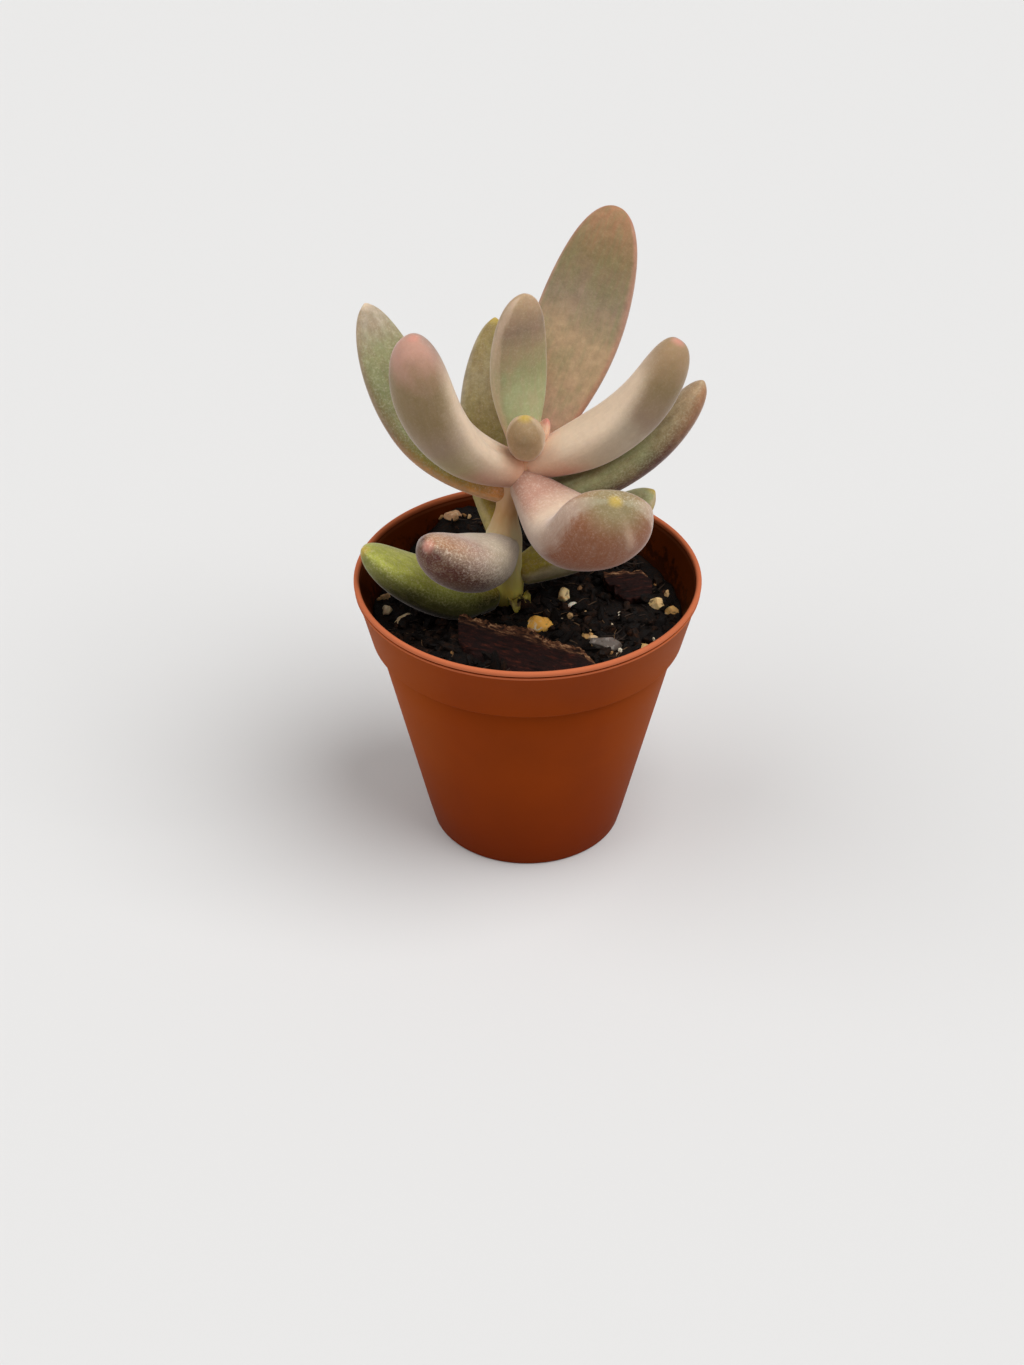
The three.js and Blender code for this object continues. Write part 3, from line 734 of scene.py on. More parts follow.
def conifer_bark(settings):
    """Weathered pine bark: dark red-brown plates with fibres along the grain, and a torn, paler
    corky edge where it broke"""
    material, tree, shader = new_material("weathered_pine_bark")
    share = node(tree, "ShaderNodeAttribute", attribute_name="chip_share", out="Vector")
    backward = node(tree, "ShaderNodeSeparateXYZ", {"Vector": share}, out="Y")
    straight = node(tree, "ShaderNodeAttribute", attribute_name="chip_straight", out="Vector")
    drawn = node(tree, "ShaderNodeMapping", {"Vector": straight, "Scale": (0.22, 1, 1)})
    fibres = node(
        tree, "ShaderNodeTexNoise",
        {"Vector": drawn, "Scale": pattern_scale(0.55), "Detail": 6.0, "Roughness": 0.7, "Distortion": 0.4},
    )
    plates = node(
        tree, "ShaderNodeTexNoise",
        {"Vector": straight, "Scale": pattern_scale(3.5), "Detail": 4.0, "Roughness": 0.6},
    )
    face, torn = (
        node(tree, "ShaderNodeValToRGB", {"Fac": fibres}, stops)
        for stops in (
            [(0.34, linear("#0E0706")), (0.56, settings.bark[:]), (0.74, linear("#5C2A1A"))],
            [(0.42, linear("#1E0E08")), (0.54, linear("#6E452C")), (0.66, linear("#D0A478"))],
        )
    )
    back = node(tree, "ShaderNodeMath", {0: plates, 1: 0.25, 2: backward}, operation="MULTIPLY_ADD")
    edge = node(tree, "ShaderNodeMapRange", {"Value": back, "From Min": 0.72, "From Max": 1.08})
    colour = node(tree, "ShaderNodeMix", {0: edge, 6: face, 7: torn}, out=2, data_type="RGBA")
    height = node(tree, "ShaderNodeMath", {0: plates, 1: 1.5, 2: fibres}, operation="MULTIPLY_ADD")
    bump = node(tree, "ShaderNodeBump", {"Height": height, "Strength": 0.9, "Distance": 0.35 * MM})
    fill(tree, shader, {"Base Color": colour, "Normal": bump, "Roughness": 0.72, "Specular IOR Level": 0.15})
    return material


def tint_stops(tints):
    """Ramp stops for tints spread evenly along a leaf"""
    names = tints.split()
    places = [lerp(0.04, 0.96, number / (len(names) - 1)) for number in range(len(names))]
    return [(place, linear(TINTS[name])) for place, name in zip(places, names)]


def skin_patterns(tree):
    """Patterns on the leaf laid out straight: clouds, streaks along it, mottling and specks"""
    straight = node(tree, "ShaderNodeAttribute", attribute_name="leaf_straight", out="Vector")
    drawn = node(tree, "ShaderNodeMapping", {"Vector": straight, "Scale": (1, 1, 0.14)})
    return [
        node(
            tree, "ShaderNodeTexNoise",
            {"Vector": place, "Scale": pattern_scale(size), "Detail": detail, "Roughness": rough},
        )
        for place, size, detail, rough in (
            (straight, 5, 3.0, 0.55), (drawn, 0.9, 5.0, 0.65), (straight, 1.4, 5.0, 0.7),
            (straight, 0.42, 3.0, 0.8),
        )
    ]


def face_and_belly(tree, skin, share, along, clouds, specks):
    """Where the leaf's face is, and its colour: the tints of the face and of the belly, each from the
    stem to the tip, meeting in a cloudy and grainy line"""
    place = node(tree, "ShaderNodeMath", {0: clouds, 1: 0.16, 2: along}, operation="MULTIPLY_ADD")
    place = node(tree, "ShaderNodeMath", {0: place, 1: 0.08}, operation="SUBTRACT")
    face, belly = (
        node(tree, "ShaderNodeValToRGB", {"Fac": place}, tint_stops(tints))
        for tints in (skin.face, skin.belly)
    )
    look = math.radians(skin.look)
    toward = node(
        tree, "ShaderNodeVectorMath", {0: share, 1: (math.sin(look), math.cos(look), 0)},
        out="Value", operation="DOT_PRODUCT",
    )
    cloudy = node(tree, "ShaderNodeMath", {0: clouds, 1: 0.2, 2: toward}, operation="MULTIPLY_ADD")
    grainy = node(tree, "ShaderNodeMath", {0: specks, 1: skin.grain, 2: cloudy}, operation="MULTIPLY_ADD")
    edge = node(tree, "ShaderNodeMapRange", {"Value": along, "To Min": skin.edge[0], "To Max": skin.edge[1]})
    over = node(tree, "ShaderNodeMath", {0: grainy, 1: edge}, operation="SUBTRACT")
    # Half of what the clouds and the specks add, so that the line lies where the skin's edge says
    middle = 0.1 + 0.5 * skin.grain
    facing = node(
        tree, "ShaderNodeMapRange",
        {"Value": over, "From Min": middle - EDGE_SOFT, "From Max": middle + EDGE_SOFT},
        interpolation_type="SMOOTHSTEP",
    )
    return facing, node(tree, "ShaderNodeMix", {0: facing, 6: belly, 7: face}, out=2, data_type="RGBA")


def skin_layers(tree, skin, across, clouds, streaks):
    """What tints the leaf over its face and belly, each with its share: blotches and streaks, the
    flushed margins, the tip, and a keel that is pale partly by its own skin and partly by a painted highlight"""
    veined = node(tree, "ShaderNodeMix", {0: 0.4, 2: streaks, 3: clouds})
    blotch = node(
        tree, "ShaderNodeMapRange",
        {"Value": veined, "From Min": 0.44, "From Max": 0.6, "To Max": skin.patch_share},
    )
    margin = node(tree, "ShaderNodeMath", {0: across}, operation="ABSOLUTE")
    ragged = node(tree, "ShaderNodeMath", {0: streaks, 1: 0.2, 2: margin}, operation="MULTIPLY_ADD")
    flushed = node(
        tree, "ShaderNodeMapRange",
        {"Value": ragged, "From Min": 0.95, "From Max": 1.1, "To Max": skin.flush_share},
        interpolation_type="SMOOTHSTEP",
    )
    layers = [(blotch, skin.patch), (flushed, skin.flush)]
    from_tip = node(tree, "ShaderNodeAttribute", attribute_name="from_tip", out="Fac")
    for tint, radius, core, most in ((skin.halo, HALO_RADIUS, 0.3, 0.6), (skin.spot, SPOT_RADIUS, 0.2, 0.8)):
        if tint:
            near = node(
                tree, "ShaderNodeMapRange",
                {"Value": from_tip, "From Min": radius * MM, "From Max": core * radius * MM, "To Max": most},
                interpolation_type="SMOOTHSTEP",
            )
            layers.append((near, tint))
    keel = node(tree, "ShaderNodeAttribute", attribute_name="keel", out="Fac")
    return layers + [(keel, "shell")]


def farina(tree, amount, facing, mottle, specks):
    """How thick the pale wax lies: in specks, unevenly, and less on the belly"""
    dusted = node(
        tree, "ShaderNodeMapRange", {"Value": specks, "From Min": 0.48, "From Max": 0.64, "To Max": amount}
    )
    thick = node(
        tree, "ShaderNodeMapRange", {"Value": mottle, "From Min": 0.35, "From Max": 0.65, "To Min": 0.4}
    )
    kept = node(tree, "ShaderNodeMapRange", {"Value": facing, "To Min": 0.35})
    wax = node(tree, "ShaderNodeMath", {0: dusted, 1: thick}, operation="MULTIPLY")
    return node(tree, "ShaderNodeMath", {0: wax, 1: kept}, operation="MULTIPLY")


def leaf_skin(name, skin, powder):
    """Living leaf skin under farina, the powder of pale wax that this plant grows: matt, with a pale
    bloom at the outline, a little translucent, and specked where the powder is rubbed"""
    material, tree, shader = new_material(name)
    share = node(tree, "ShaderNodeAttribute", attribute_name="leaf_share", out="Vector")
    across, along = (node(tree, "ShaderNodeSeparateXYZ", {"Vector": share}, out=axis) for axis in "XZ")
    clouds, streaks, mottle, specks = skin_patterns(tree)
    facing, colour = face_and_belly(tree, skin, share, along, clouds, specks)
    for amount, tint in skin_layers(tree, skin, across, clouds, streaks):
        inputs = {0: amount, 6: colour, 7: linear(TINTS[tint])}
        colour = node(tree, "ShaderNodeMix", inputs, out=2, data_type="RGBA")
    depth = node(
        tree, "ShaderNodeMapRange",
        {"Value": mottle, "From Min": 0.3, "From Max": 0.7,
         "To Min": 1 - 0.4 * skin.patch_share, "To Max": 1 + 0.35 * skin.patch_share},
    )
    colour = node(tree, "ShaderNodeHueSaturation", {"Value": depth, "Color": colour})
    wax = farina(tree, skin.powder * powder, facing, mottle, specks)
    inputs = {0: wax, 6: colour, 7: linear(TINTS["chalk"])}
    colour = node(tree, "ShaderNodeMix", inputs, out=2, data_type="RGBA")
    rough = node(tree, "ShaderNodeMapRange", {"Value": specks, "To Min": 0.5, "To Max": 0.78})
    relief = node(tree, "ShaderNodeMath", {0: streaks, 1: 0.8, 2: specks}, operation="MULTIPLY_ADD")
    bump = node(tree, "ShaderNodeBump", {"Height": relief, "Strength": 0.5, "Distance": 0.1 * MM})
    fill(tree, shader, {
        "Base Color": colour, "Roughness": rough, "Normal": bump, "IOR": 1.4, "Specular IOR Level": 0.2,
        "Subsurface Weight": 0.1, "Subsurface Radius": (1.0, 0.5, 0.25), "Subsurface Scale": 1.2 * MM,
        "Sheen Weight": 0.6, "Sheen Roughness": 0.3, "Sheen Tint": linear("#F6EEEC"),
    })
    return material


def stem_skin(settings):
    """Young succulent stem: pale green skin with a chalky bloom, pinker where the leaves leave it
    and brown at the soil"""
    material, tree, shader = new_material("chalky_stem_skin")
    coords = node(tree, "ShaderNodeTexCoord", out="Object")
    height = node(tree, "ShaderNodeSeparateXYZ", {"Vector": coords}, out="Z")
    drawn = node(tree, "ShaderNodeMapping", {"Vector": coords, "Scale": (1, 1, 0.2)})
    streaks = node(tree, "ShaderNodeTexNoise", {"Vector": drawn, "Scale": pattern_scale(0.8), "Detail": 4.0})
    wavy = node(tree, "ShaderNodeMath", {0: streaks, 1: 4 * MM, 2: height}, operation="MULTIPLY_ADD")
    share = node(tree, "ShaderNodeMapRange", {"Value": wavy, "From Min": 47 * MM, "From Max": 81 * MM})
    # The stops up to the middle are painted lighter than the stem's own skin, as painted light where the
    # leaves shade it
    colour = node(
        tree, "ShaderNodeValToRGB", {"Fac": share},
        [(0.0, linear("#A88838")), (0.14, linear("#DACC60")), (0.4, settings.stem_skin[:]),
         (0.62, linear("#C49A68")), (0.85, linear("#D2AD90")), (0.97, linear("#D8A380"))],
    )
    bump = node(tree, "ShaderNodeBump", {"Height": streaks, "Strength": 0.4, "Distance": 0.1 * MM})
    fill(tree, shader, {
        "Base Color": colour, "Normal": bump, "Roughness": 0.65,
        "Subsurface Weight": 0.2, "Subsurface Scale": 1.2 * MM, "Sheen Weight": 0.12,
    })
    return material


def dry_leaf():
    """Dead leaf base, dried on the stem: papery, straw yellow going brown"""
    material, tree, shader = new_material("papery_dead_leaf")
    coords = node(tree, "ShaderNodeTexCoord", out="Object")
    spots = node(tree, "ShaderNodeTexNoise", {"Vector": coords, "Scale": pattern_scale(1.5), "Detail": 4.0})
    colour = node(
        tree, "ShaderNodeValToRGB", {"Fac": spots},
        [(0.35, linear("#5A431A")), (0.5, linear("#94852E")), (0.7, linear("#BDB048"))],
    )
    fill(tree, shader, {"Base Color": colour, "Roughness": 0.6})
    return material


# Pieces


class SUCCULENT_OT_pot(bpy.types.Operator):
    """Spin the nursery pot with its rolled lip and bore its drain holes"""

    bl_idname = "succulent.pot"
    bl_label = "Pot"

    def execute(self, context):
        settings = context.scene.succulent_pot
        bead = settings.bead / MM
        under = settings.under_bead / MM
        top = (RIM_RADIUS - bead, POT_HEIGHT - bead)
        lower = (RIM_RADIUS - LOWER_BEAD_IN - under, POT_HEIGHT - 2 * bead - BEAD_GAP - under)
        profile = [(0, 0), (PAD_RADIUS, 0), (PAD_RADIUS + RECESS_SLOPE, RECESS)]
        profile += [(FOOT_RADIUS - RECESS_SLOPE, RECESS), (FOOT_RADIUS, 0)]
        profile += arc((BASE_RADIUS - FOOT_ROUND, FOOT_ROUND), FOOT_ROUND, -90, -10, 4)
        profile += [(body_radius(z), z) for z in (*BODY_RINGS, BAND_FOOT_HEIGHT - GROOVE_START)]
        profile += [(BODY_TOP_RADIUS - STEP_GROOVE, BAND_FOOT_HEIGHT - edge) for edge in GROOVE_EDGES]
        profile += arc((BAND_FOOT_RADIUS - STEP_ROUND, BAND_FOOT_HEIGHT + STEP_ROUND), STEP_ROUND, -90, -5, 5)
        profile += [(BAND_SHOULDER_RADIUS, lower[1] - under - SHOULDER_DROP)]
        profile += arc(lower, under, -75, 80, 8)
        profile += [(RIM_RADIUS - LIP_GROOVE, POT_HEIGHT - 2 * bead - HAIR)]
        profile += arc(top, bead, -70, 180, 20)
        profile += [(top[0] - bead, top[1] - LIP_DEPTH)]
        inner_heights = (LIP_BLEND_HEIGHT, BAND_FOOT_HEIGHT, INNER_STEP_HEIGHT - 0.01, INNER_MIDDLE, FLOOR)
        profile += [(inside_radius(z), z) for z in inner_heights]
        profile += [(0, FLOOR)]
        bm = bmesh.new()
        spin_profile(bm, profile, POT_TURNS)
        inner_wall = bm.verts.layers.float.new("inner_wall")
        for vert in bm.verts:
            radius, height = math.hypot(vert.co.x, vert.co.y), vert.co.z
            # The wall is thicker near the lip
            wall = 1.2 * WALL if height > POT_HEIGHT - 2 else 0.5 * WALL
            within = radius < inside_radius(height) + wall
            vert[inner_wall] = float(FLOOR - 2 * HAIR < height < top[1] - 2 * HAIR and within)
        pot = finish_piece("pot_shell", bm, pot_plastic(settings), ["pot"])
        self.bore(context, pot)
        return {"FINISHED"}

    def bore(self, context, pot):
        """Cut the drain holes with a Boolean, and keep its result as the pot's mesh"""
        drills = bmesh.new()
        for number in range(DRAIN_HOLES):
            turn = 2 * math.pi * number / DRAIN_HOLES
            middle = Vector((DRAIN_CIRCLE * math.cos(turn), DRAIN_CIRCLE * math.sin(turn), 0)) * MM
            bmesh.ops.create_cone(
                drills, cap_ends=True, segments=DRAIN_SIDES, radius1=DRAIN_RADIUS * MM,
                radius2=DRAIN_RADIUS * MM, depth=3 * FLOOR * MM, matrix=Matrix.Translation(middle),
            )
        drill = add_mesh("drills", drills)
        cut = pot.modifiers.new("drain_holes", "BOOLEAN")
        cut.operation = "DIFFERENCE"
        cut.solver = "EXACT"
        cut.object = drill
        bored = bpy.data.meshes.new_from_object(pot.evaluated_get(context.evaluated_depsgraph_get()))
        pot.modifiers.remove(cut)
        plain = pot.data
        pot.data = bored
        bpy.data.meshes.remove(plain)
        bpy.data.objects.remove(drill)
        bored.set_sharp_from_angle(angle=math.radians(SHARP_ANGLE))
        if len(bored.polygons) < POT_TURNS:
            raise RuntimeError("the drain holes could not be cut")


def clod_height(x, y, height):
    """The soil's own level under broad clods, sharp crests and fine crumbles"""
    clods, crests, crumbles = (
        noise.noise(Vector((x, y, relief.slice)) / relief.size) for relief in (CLODS, CRESTS, CRUMBLES)
    )
    rise = CLODS.share * clods + CRESTS.share * (1 - 2 * abs(crests)) + CRUMBLES.share * crumbles
    return soil_height(x, y) + height * (rise - RELIEF_DROP)


class SUCCULENT_OT_soil(bpy.types.Operator):
    """Spin the body of peat and raise its clods"""

    bl_idname = "succulent.soil"
    bl_label = "Soil"

    def execute(self, context):
        settings = context.scene.succulent_soil
        clod = settings.clod / MM
        foot = FLOOR + SOIL_GAP
        heights = (foot, INNER_STEP_HEIGHT, BAND_FOOT_HEIGHT + SOIL_GAP)
        profile = [(0, foot)] + [(inside_radius(z) - SOIL_GAP, z) for z in heights]
        rim = inside_radius(SOIL_LEVEL) - HAIR
        profile += [(rim * ring / SOIL_RINGS, SOIL_LEVEL) for ring in range(SOIL_RINGS, -1, -1)]
        bm = bmesh.new()
        spin_profile(bm, profile, SOIL_TURNS)
        bm.verts.layers.float.new("shade")
        for vert in bm.verts:
            if vert.co.z > SOIL_LEVEL - 1:
                height = clod_height(vert.co.x, vert.co.y, clod)
                spread = (inside_radius(height) - HAIR) / rim
                vert.co = Vector((vert.co.x * spread, vert.co.y * spread, height))
        finish_piece("peat_body", bm, peat(settings), ["soil"])
        return {"FINISHED"}


def scatter_place(rng, reach):
    """A place on the soil, evenly drawn over a round stretch of it"""
    radius = reach * math.sqrt(rng.random())
    turn = rng.uniform(0, 2 * math.pi)
    return radius * math.cos(turn), radius * math.sin(turn)


def random_way(rng):
    return Vector((rng.uniform(-1, 1), rng.uniform(-1, 1), rng.uniform(-1, 1))).normalized()


def random_turn(rng):
    axis = random_way(rng)
    return Matrix.Rotation(rng.uniform(0, 2 * math.pi), 4, axis)


def gather(count, build):
    """Build many small shapes, each in a mesh of its own for speed, and gather them into one"""
    whole = bmesh.new()
    single = bpy.data.meshes.new("single")
    for number in range(count):
        part = bmesh.new()
        build(part, number)
        part.to_mesh(single)
        part.free()
        whole.from_mesh(single)
    bpy.data.meshes.remove(single)
    return whole


def lumps(rng, count, clod, sizes, shades, drawn=0.0, named=()):
    """Small uneven lumps, half sunk in the peat, each with one shade, the named ones first. Drawn is
    how many times longer than broad the longest ones are."""

    def build(part, number):
        shade = part.verts.layers.float.new("shade")
        size = lerp(*sizes, rng.random() ** LUMP["small"])
        long = 1 + drawn * rng.random() ** LUMP["round"]
        x, y = scatter_place(rng, SCATTER_REACH - 1.6 * size * long)
        tone = lerp(*shades, rng.random())
        if number < len(named):
            x, y, size, tone = named[number]
        length = size * long * rng.uniform(*LUMP["stretch"])
        breadth = size * rng.uniform(*LUMP["squash"])
        stretch = Matrix.Diagonal((length, breadth, 0.8 * size, 1))
        centre = Vector((x, y, clod_height(x, y, clod) + size * rng.uniform(*LUMP["stands"])))
        place = Matrix.Translation(centre) @ random_turn(rng) @ stretch
        bmesh.ops.create_icosphere(part, subdivisions=2, radius=1, matrix=place)
        for vert in part.verts:
            vert[shade] = tone
            swell = 1 + LUMP["uneven"] * noise.noise(vert.co * 1.4 / size + Vector((number, 0, 0)))
            vert.co = centre + (vert.co - centre) * swell

    return gather(count, build)


def threads(rng, count, clod):
    """Thin root hairs, each a ball drawn out to a thread and bent along the soil"""

    def build(part, number):
        shade = part.verts.layers.float.new("shade")
        x, y = scatter_place(rng, FIBRE_REACH)
        half_length = rng.uniform(*FIBRE["half"])
        thick = rng.uniform(*FIBRE["thick"])
        turn = rng.uniform(0, 2 * math.pi)
        curl = rng.uniform(*FIBRE["curl"])
        tilt = rng.uniform(*FIBRE["tilt"])
        tone = rng.random()
        for vert in bmesh.ops.create_uvsphere(part, u_segments=5, v_segments=10, radius=1)["verts"]:
            vert[shade] = tone
            run = vert.co.z * half_length
            bend = turn + curl * run
            px = x + run * math.cos(bend) - vert.co.x * thick * math.sin(bend)
            py = y + run * math.sin(bend) + vert.co.x * thick * math.cos(bend)
            lift = clod_height(x, y, clod) + 0.15 + abs(run) * tilt
            vert.co = Vector((px, py, max(lift, clod_height(px, py, clod) + HAIR) + vert.co.y * thick))

    return gather(count, build)


class SUCCULENT_OT_crumbs(bpy.types.Operator):
    """Scatter loose peat crumbs, root fibres and small grit over the soil"""

    bl_idname = "succulent.crumbs"
    bl_label = "Crumbs, fibres and grit"

    def execute(self, context):
        settings = context.scene.succulent_soil
        clod = settings.clod / MM
        crumbs = lumps(random.Random(11), settings.crumbs, clod, (0.22, 1.4), (-0.1, 0.16), 1.8)
        finish_piece("peat_crumbs", crumbs, bpy.data.materials["moist_peat"], smooth=False)
        grains = lumps(random.Random(29), settings.grit, clod, (0.18, 0.55), (0.0, 1.0), 0.5, GRAINS)
        finish_piece("loose_grit", grains, loose_grit(), smooth=False)
        fibres = threads(random.Random(47), settings.fibres, clod)
        finish_piece("root_fibres", fibres, dry_fibre())
        return {"FINISHED"}


class SUCCULENT_OT_stones(bpy.types.Operator):
    """Break each named stone out of a ball by flat cuts"""

    bl_idname = "succulent.stones"
    bl_label = "Stones"

    def execute(self, context):
        for number, (name, stone) in enumerate(STONES.items()):
            rng = random.Random(100 + number)
            bm = bmesh.new()
            bmesh.ops.create_icosphere(bm, subdivisions=4, radius=1)
            for _ in range(STONE_FACETS):
                way = random_way(rng)
                depth = rng.uniform(*FACET_DEPTHS)
                for vert in bm.verts:
                    over = vert.co.dot(way) - depth
                    if over > 0:
                        vert.co -= way * over * FACET_FLATNESS
            height = soil_height(stone.x, stone.y) + stone.half[2] * STONE_LIFT
            for vert in bm.verts:
                vert.co *= STONE_SWELL + STONE_ROUGH * noise.noise(vert.co * 2.5 + Vector((number, 0, 0)))
                vert.co = Vector((stone.x, stone.y, height)) + vert.co * Vector(stone.half)
            skin = grit(f"crushed_{name}", stone.colour, stone.vein)
            finish_piece(f"{name}_broken", bm, skin, [name])
        return {"FINISHED"}


class SUCCULENT_OT_bark(bpy.types.Operator):
    """Cut the two bark chips finely and tear their edges"""

    bl_idname = "succulent.bark"
    bl_label = "Bark chips"

    def execute(self, context):
        material = conifer_bark(context.scene.succulent_plant)
        for name, chip in CHIPS.items():
            finish_piece(f"{name}_torn", self.chip(chip), material, [name])
        return {"FINISHED"}

    def chip(self, chip):
        """A slab whose ends narrow, arched across, with ridges along its grain and a torn back edge"""
        bm = bmesh.new()
        share_layer = bm.verts.layers.float_vector.new("chip_share")
        straight_layer = bm.verts.layers.float_vector.new("chip_straight")
        bmesh.ops.create_cube(bm, size=2)
        for axis, cuts in enumerate(CHIP_CUTS):
            along = [e for e in bm.edges if abs(e.verts[0].co[axis] - e.verts[1].co[axis]) > 1.5]
            bmesh.ops.subdivide_edges(bm, edges=along, cuts=cuts, use_grid_fill=True)
        length, depth, thick = chip.half
        middle = Vector((chip.x, chip.y, soil_height(chip.x, chip.y) + chip.lift))
        tilt = Matrix.Rotation(math.radians(chip.tilt), 3, "X")
        turn = Matrix.Rotation(math.radians(chip.turn), 3, "Z") @ tilt
        for vert in bm.verts:
            share = vert.co.copy()
            vert[share_layer] = share
            corner = smoothstep(-0.2, -1, share.x) * smoothstep(0, 1, share.y)
            narrow = 1 - CHIP_NARROW["share"] * abs(share.x) ** CHIP_NARROW["power"] * (1 - 0.9 * corner)
            phase = CHIP_WAVES["along_x"] * share.x + CHIP_WAVES["along_y"] * share.y
            wavy = 1 + CHIP_WAVES["share"] * math.sin(phase)
            wander = noise.noise(Vector((share.x * 2.2, share.y * 1.1, chip.turn)))
            broken = CHIP_CUT * depth * smoothstep(-0.1, -1, share.x)
            x = share.x * length * (1 - CHIP_BOW * share.y ** 2) + CHIP_WANDER[0] * wander
            x += broken * smoothstep(0.8, -0.6, share.y) - CHIP_CORNER["out"] * chip.rim * corner
            y = share.y * depth * narrow * wavy + CHIP_WANDER[1] * wander
            y += broken * smoothstep(0.3, -1, share.y)
            torn = 0.4 * noise.noise(Vector((x * 1.1, 0, share.z * 2))) * smoothstep(0.6, 1, abs(share.y))
            splinters = 0.5 + noise.noise(Vector((x * 0.7, 4, share.z)))
            splinters += 0.35 * noise.noise(Vector((x * 3, 7, 0)))
            ridges = CHIP_RIDGES[0] * noise.noise(Vector((x * 0.25, y * 1.6, 5)))
            ridges += CHIP_RIDGES[1] * noise.noise(Vector((x, y * 3, 8)))
            arch = chip.arch * (1 - share.y ** 2 - CHIP_HANG * share.x ** 2)
            height = share.z * thick * (1 - 0.25 * share.y ** 2) + arch + ridges * max(share.z, 0)
            height += chip.rim * smoothstep(0.78, 1, share.y) * splinters
            height += CHIP_CORNER["up"] * chip.rim * corner
            vert[straight_layer] = Vector((x, y, height)) * MM
            vert.co = middle + turn @ Vector((x, y + torn, height))
        return bm


def along_stem(height, key):
    """A value of the stem's list at a height, on straight lines between its places"""
    for low, high in zip(STEM, STEM[1:]):
        if height <= high.z:
            share = max((height - low.z) / (high.z - low.z), 0)
            return lerp(getattr(low, key), getattr(high, key), share)
    return getattr(STEM[-1], key)


class SUCCULENT_OT_stem(bpy.types.Operator):
    """Draw out the stem, with a cushion under each leaf"""

    bl_idname = "succulent.stem"
    bl_label = "Stem"

    def execute(self, context):
        bm = bmesh.new()
        bmesh.ops.create_cone(bm, cap_ends=True, segments=STEM_TURNS, radius1=1, radius2=1, depth=1)
        upright = [e for e in bm.edges if abs(e.verts[0].co.z - e.verts[1].co.z) > 0.5]
        bmesh.ops.subdivide_edges(bm, edges=upright, cuts=STEM_STEPS, use_grid_fill=True)
        for vert in bm.verts:
            height = lerp(STEM[0].z, STEM[-1].z, vert.co.z + 0.5)
            near = [height - STEM_SOFTENED, height, height + STEM_SOFTENED]
            radius, x, y = (sum(along_stem(h, key) for h in near) / 3 for key in ("radius", "x", "y"))
            turn = math.atan2(vert.co.y, vert.co.x)
            for leaf in LEAVES.values():
                toward = max(math.cos(turn - math.radians(leaf.azimuth)), 0) ** 2
                off = (height - leaf.height + CUSHION["below"]) / CUSHION["spread"]
                radius += CUSHION["height"] * toward * math.exp(-off ** 2)
            radius *= 1 + 0.05 * noise.noise(Vector((vert.co.x * 2, vert.co.y * 2, height * 0.4)))
            vert.co = Vector((x + radius * math.cos(turn), y + radius * math.sin(turn), height))
        finish_piece("stem_skin", bm, stem_skin(context.scene.succulent_plant), ["stem"])
        return {"FINISHED"}


def fullness(t, widest, neck, blunt):
    """Share of the full breadth at t along a leaf, from its neck over its broadest place to its tip"""
    start = math.sqrt(1 - (1 - min(t / START_ROUND, 1)) ** 2)
    if t < widest:
        return start * (neck + (1 - neck) * math.sin(math.pi / 2 * t / widest) ** SWELL_POWER)
    past = min((t - widest) / (1 - widest), 1)
    return start * (1 - past ** blunt) ** (1 / blunt)


def leaf_line(leaf):
    """Places along a leaf's middle, each with the directions ahead, across and through it"""

    def heading(t):
        rise = math.radians(lerp(*leaf.rise, smoothstep(*leaf.bend, t)))
        turn = math.radians(leaf.azimuth + leaf.sweep * t)
        ahead = Vector((math.cos(rise) * math.cos(turn), math.cos(rise) * math.sin(turn), math.sin(rise)))
        level = Vector((-math.sin(turn), math.cos(turn), 0))
        across = Matrix.Rotation(math.radians(lerp(*leaf.twist, t)), 3, ahead) @ level
        return ahead, across, ahead.cross(across)

    out = math.radians(leaf.azimuth)
    place = Vector((
        along_stem(leaf.height, "x") + leaf.start * math.cos(out),
        along_stem(leaf.height, "y") + leaf.start * math.sin(out),
        leaf.height,
    ))
    line = [(place.copy(), *heading(0))]
    for step in range(LEAF_STEPS):
        place += heading((step + 0.5) / LEAF_STEPS)[0] * leaf.length / LEAF_STEPS
        line.append((place.copy(), *heading((step + 1) / LEAF_STEPS)))
    return line


def fold_rise(fold, t, turn):
    """How far a fold stands up at t along its leaf, at an angle round it"""
    if not fold or not fold.start < t < fold.end:
        return 0.0
    off = (math.degrees(turn) - fold.angle + 180) % 360 - 180
    along = math.sin(math.pi * (t - fold.start) / (fold.end - fold.start)) ** 2
    return fold.depth * along * math.exp(-(off / fold.width) ** 2)


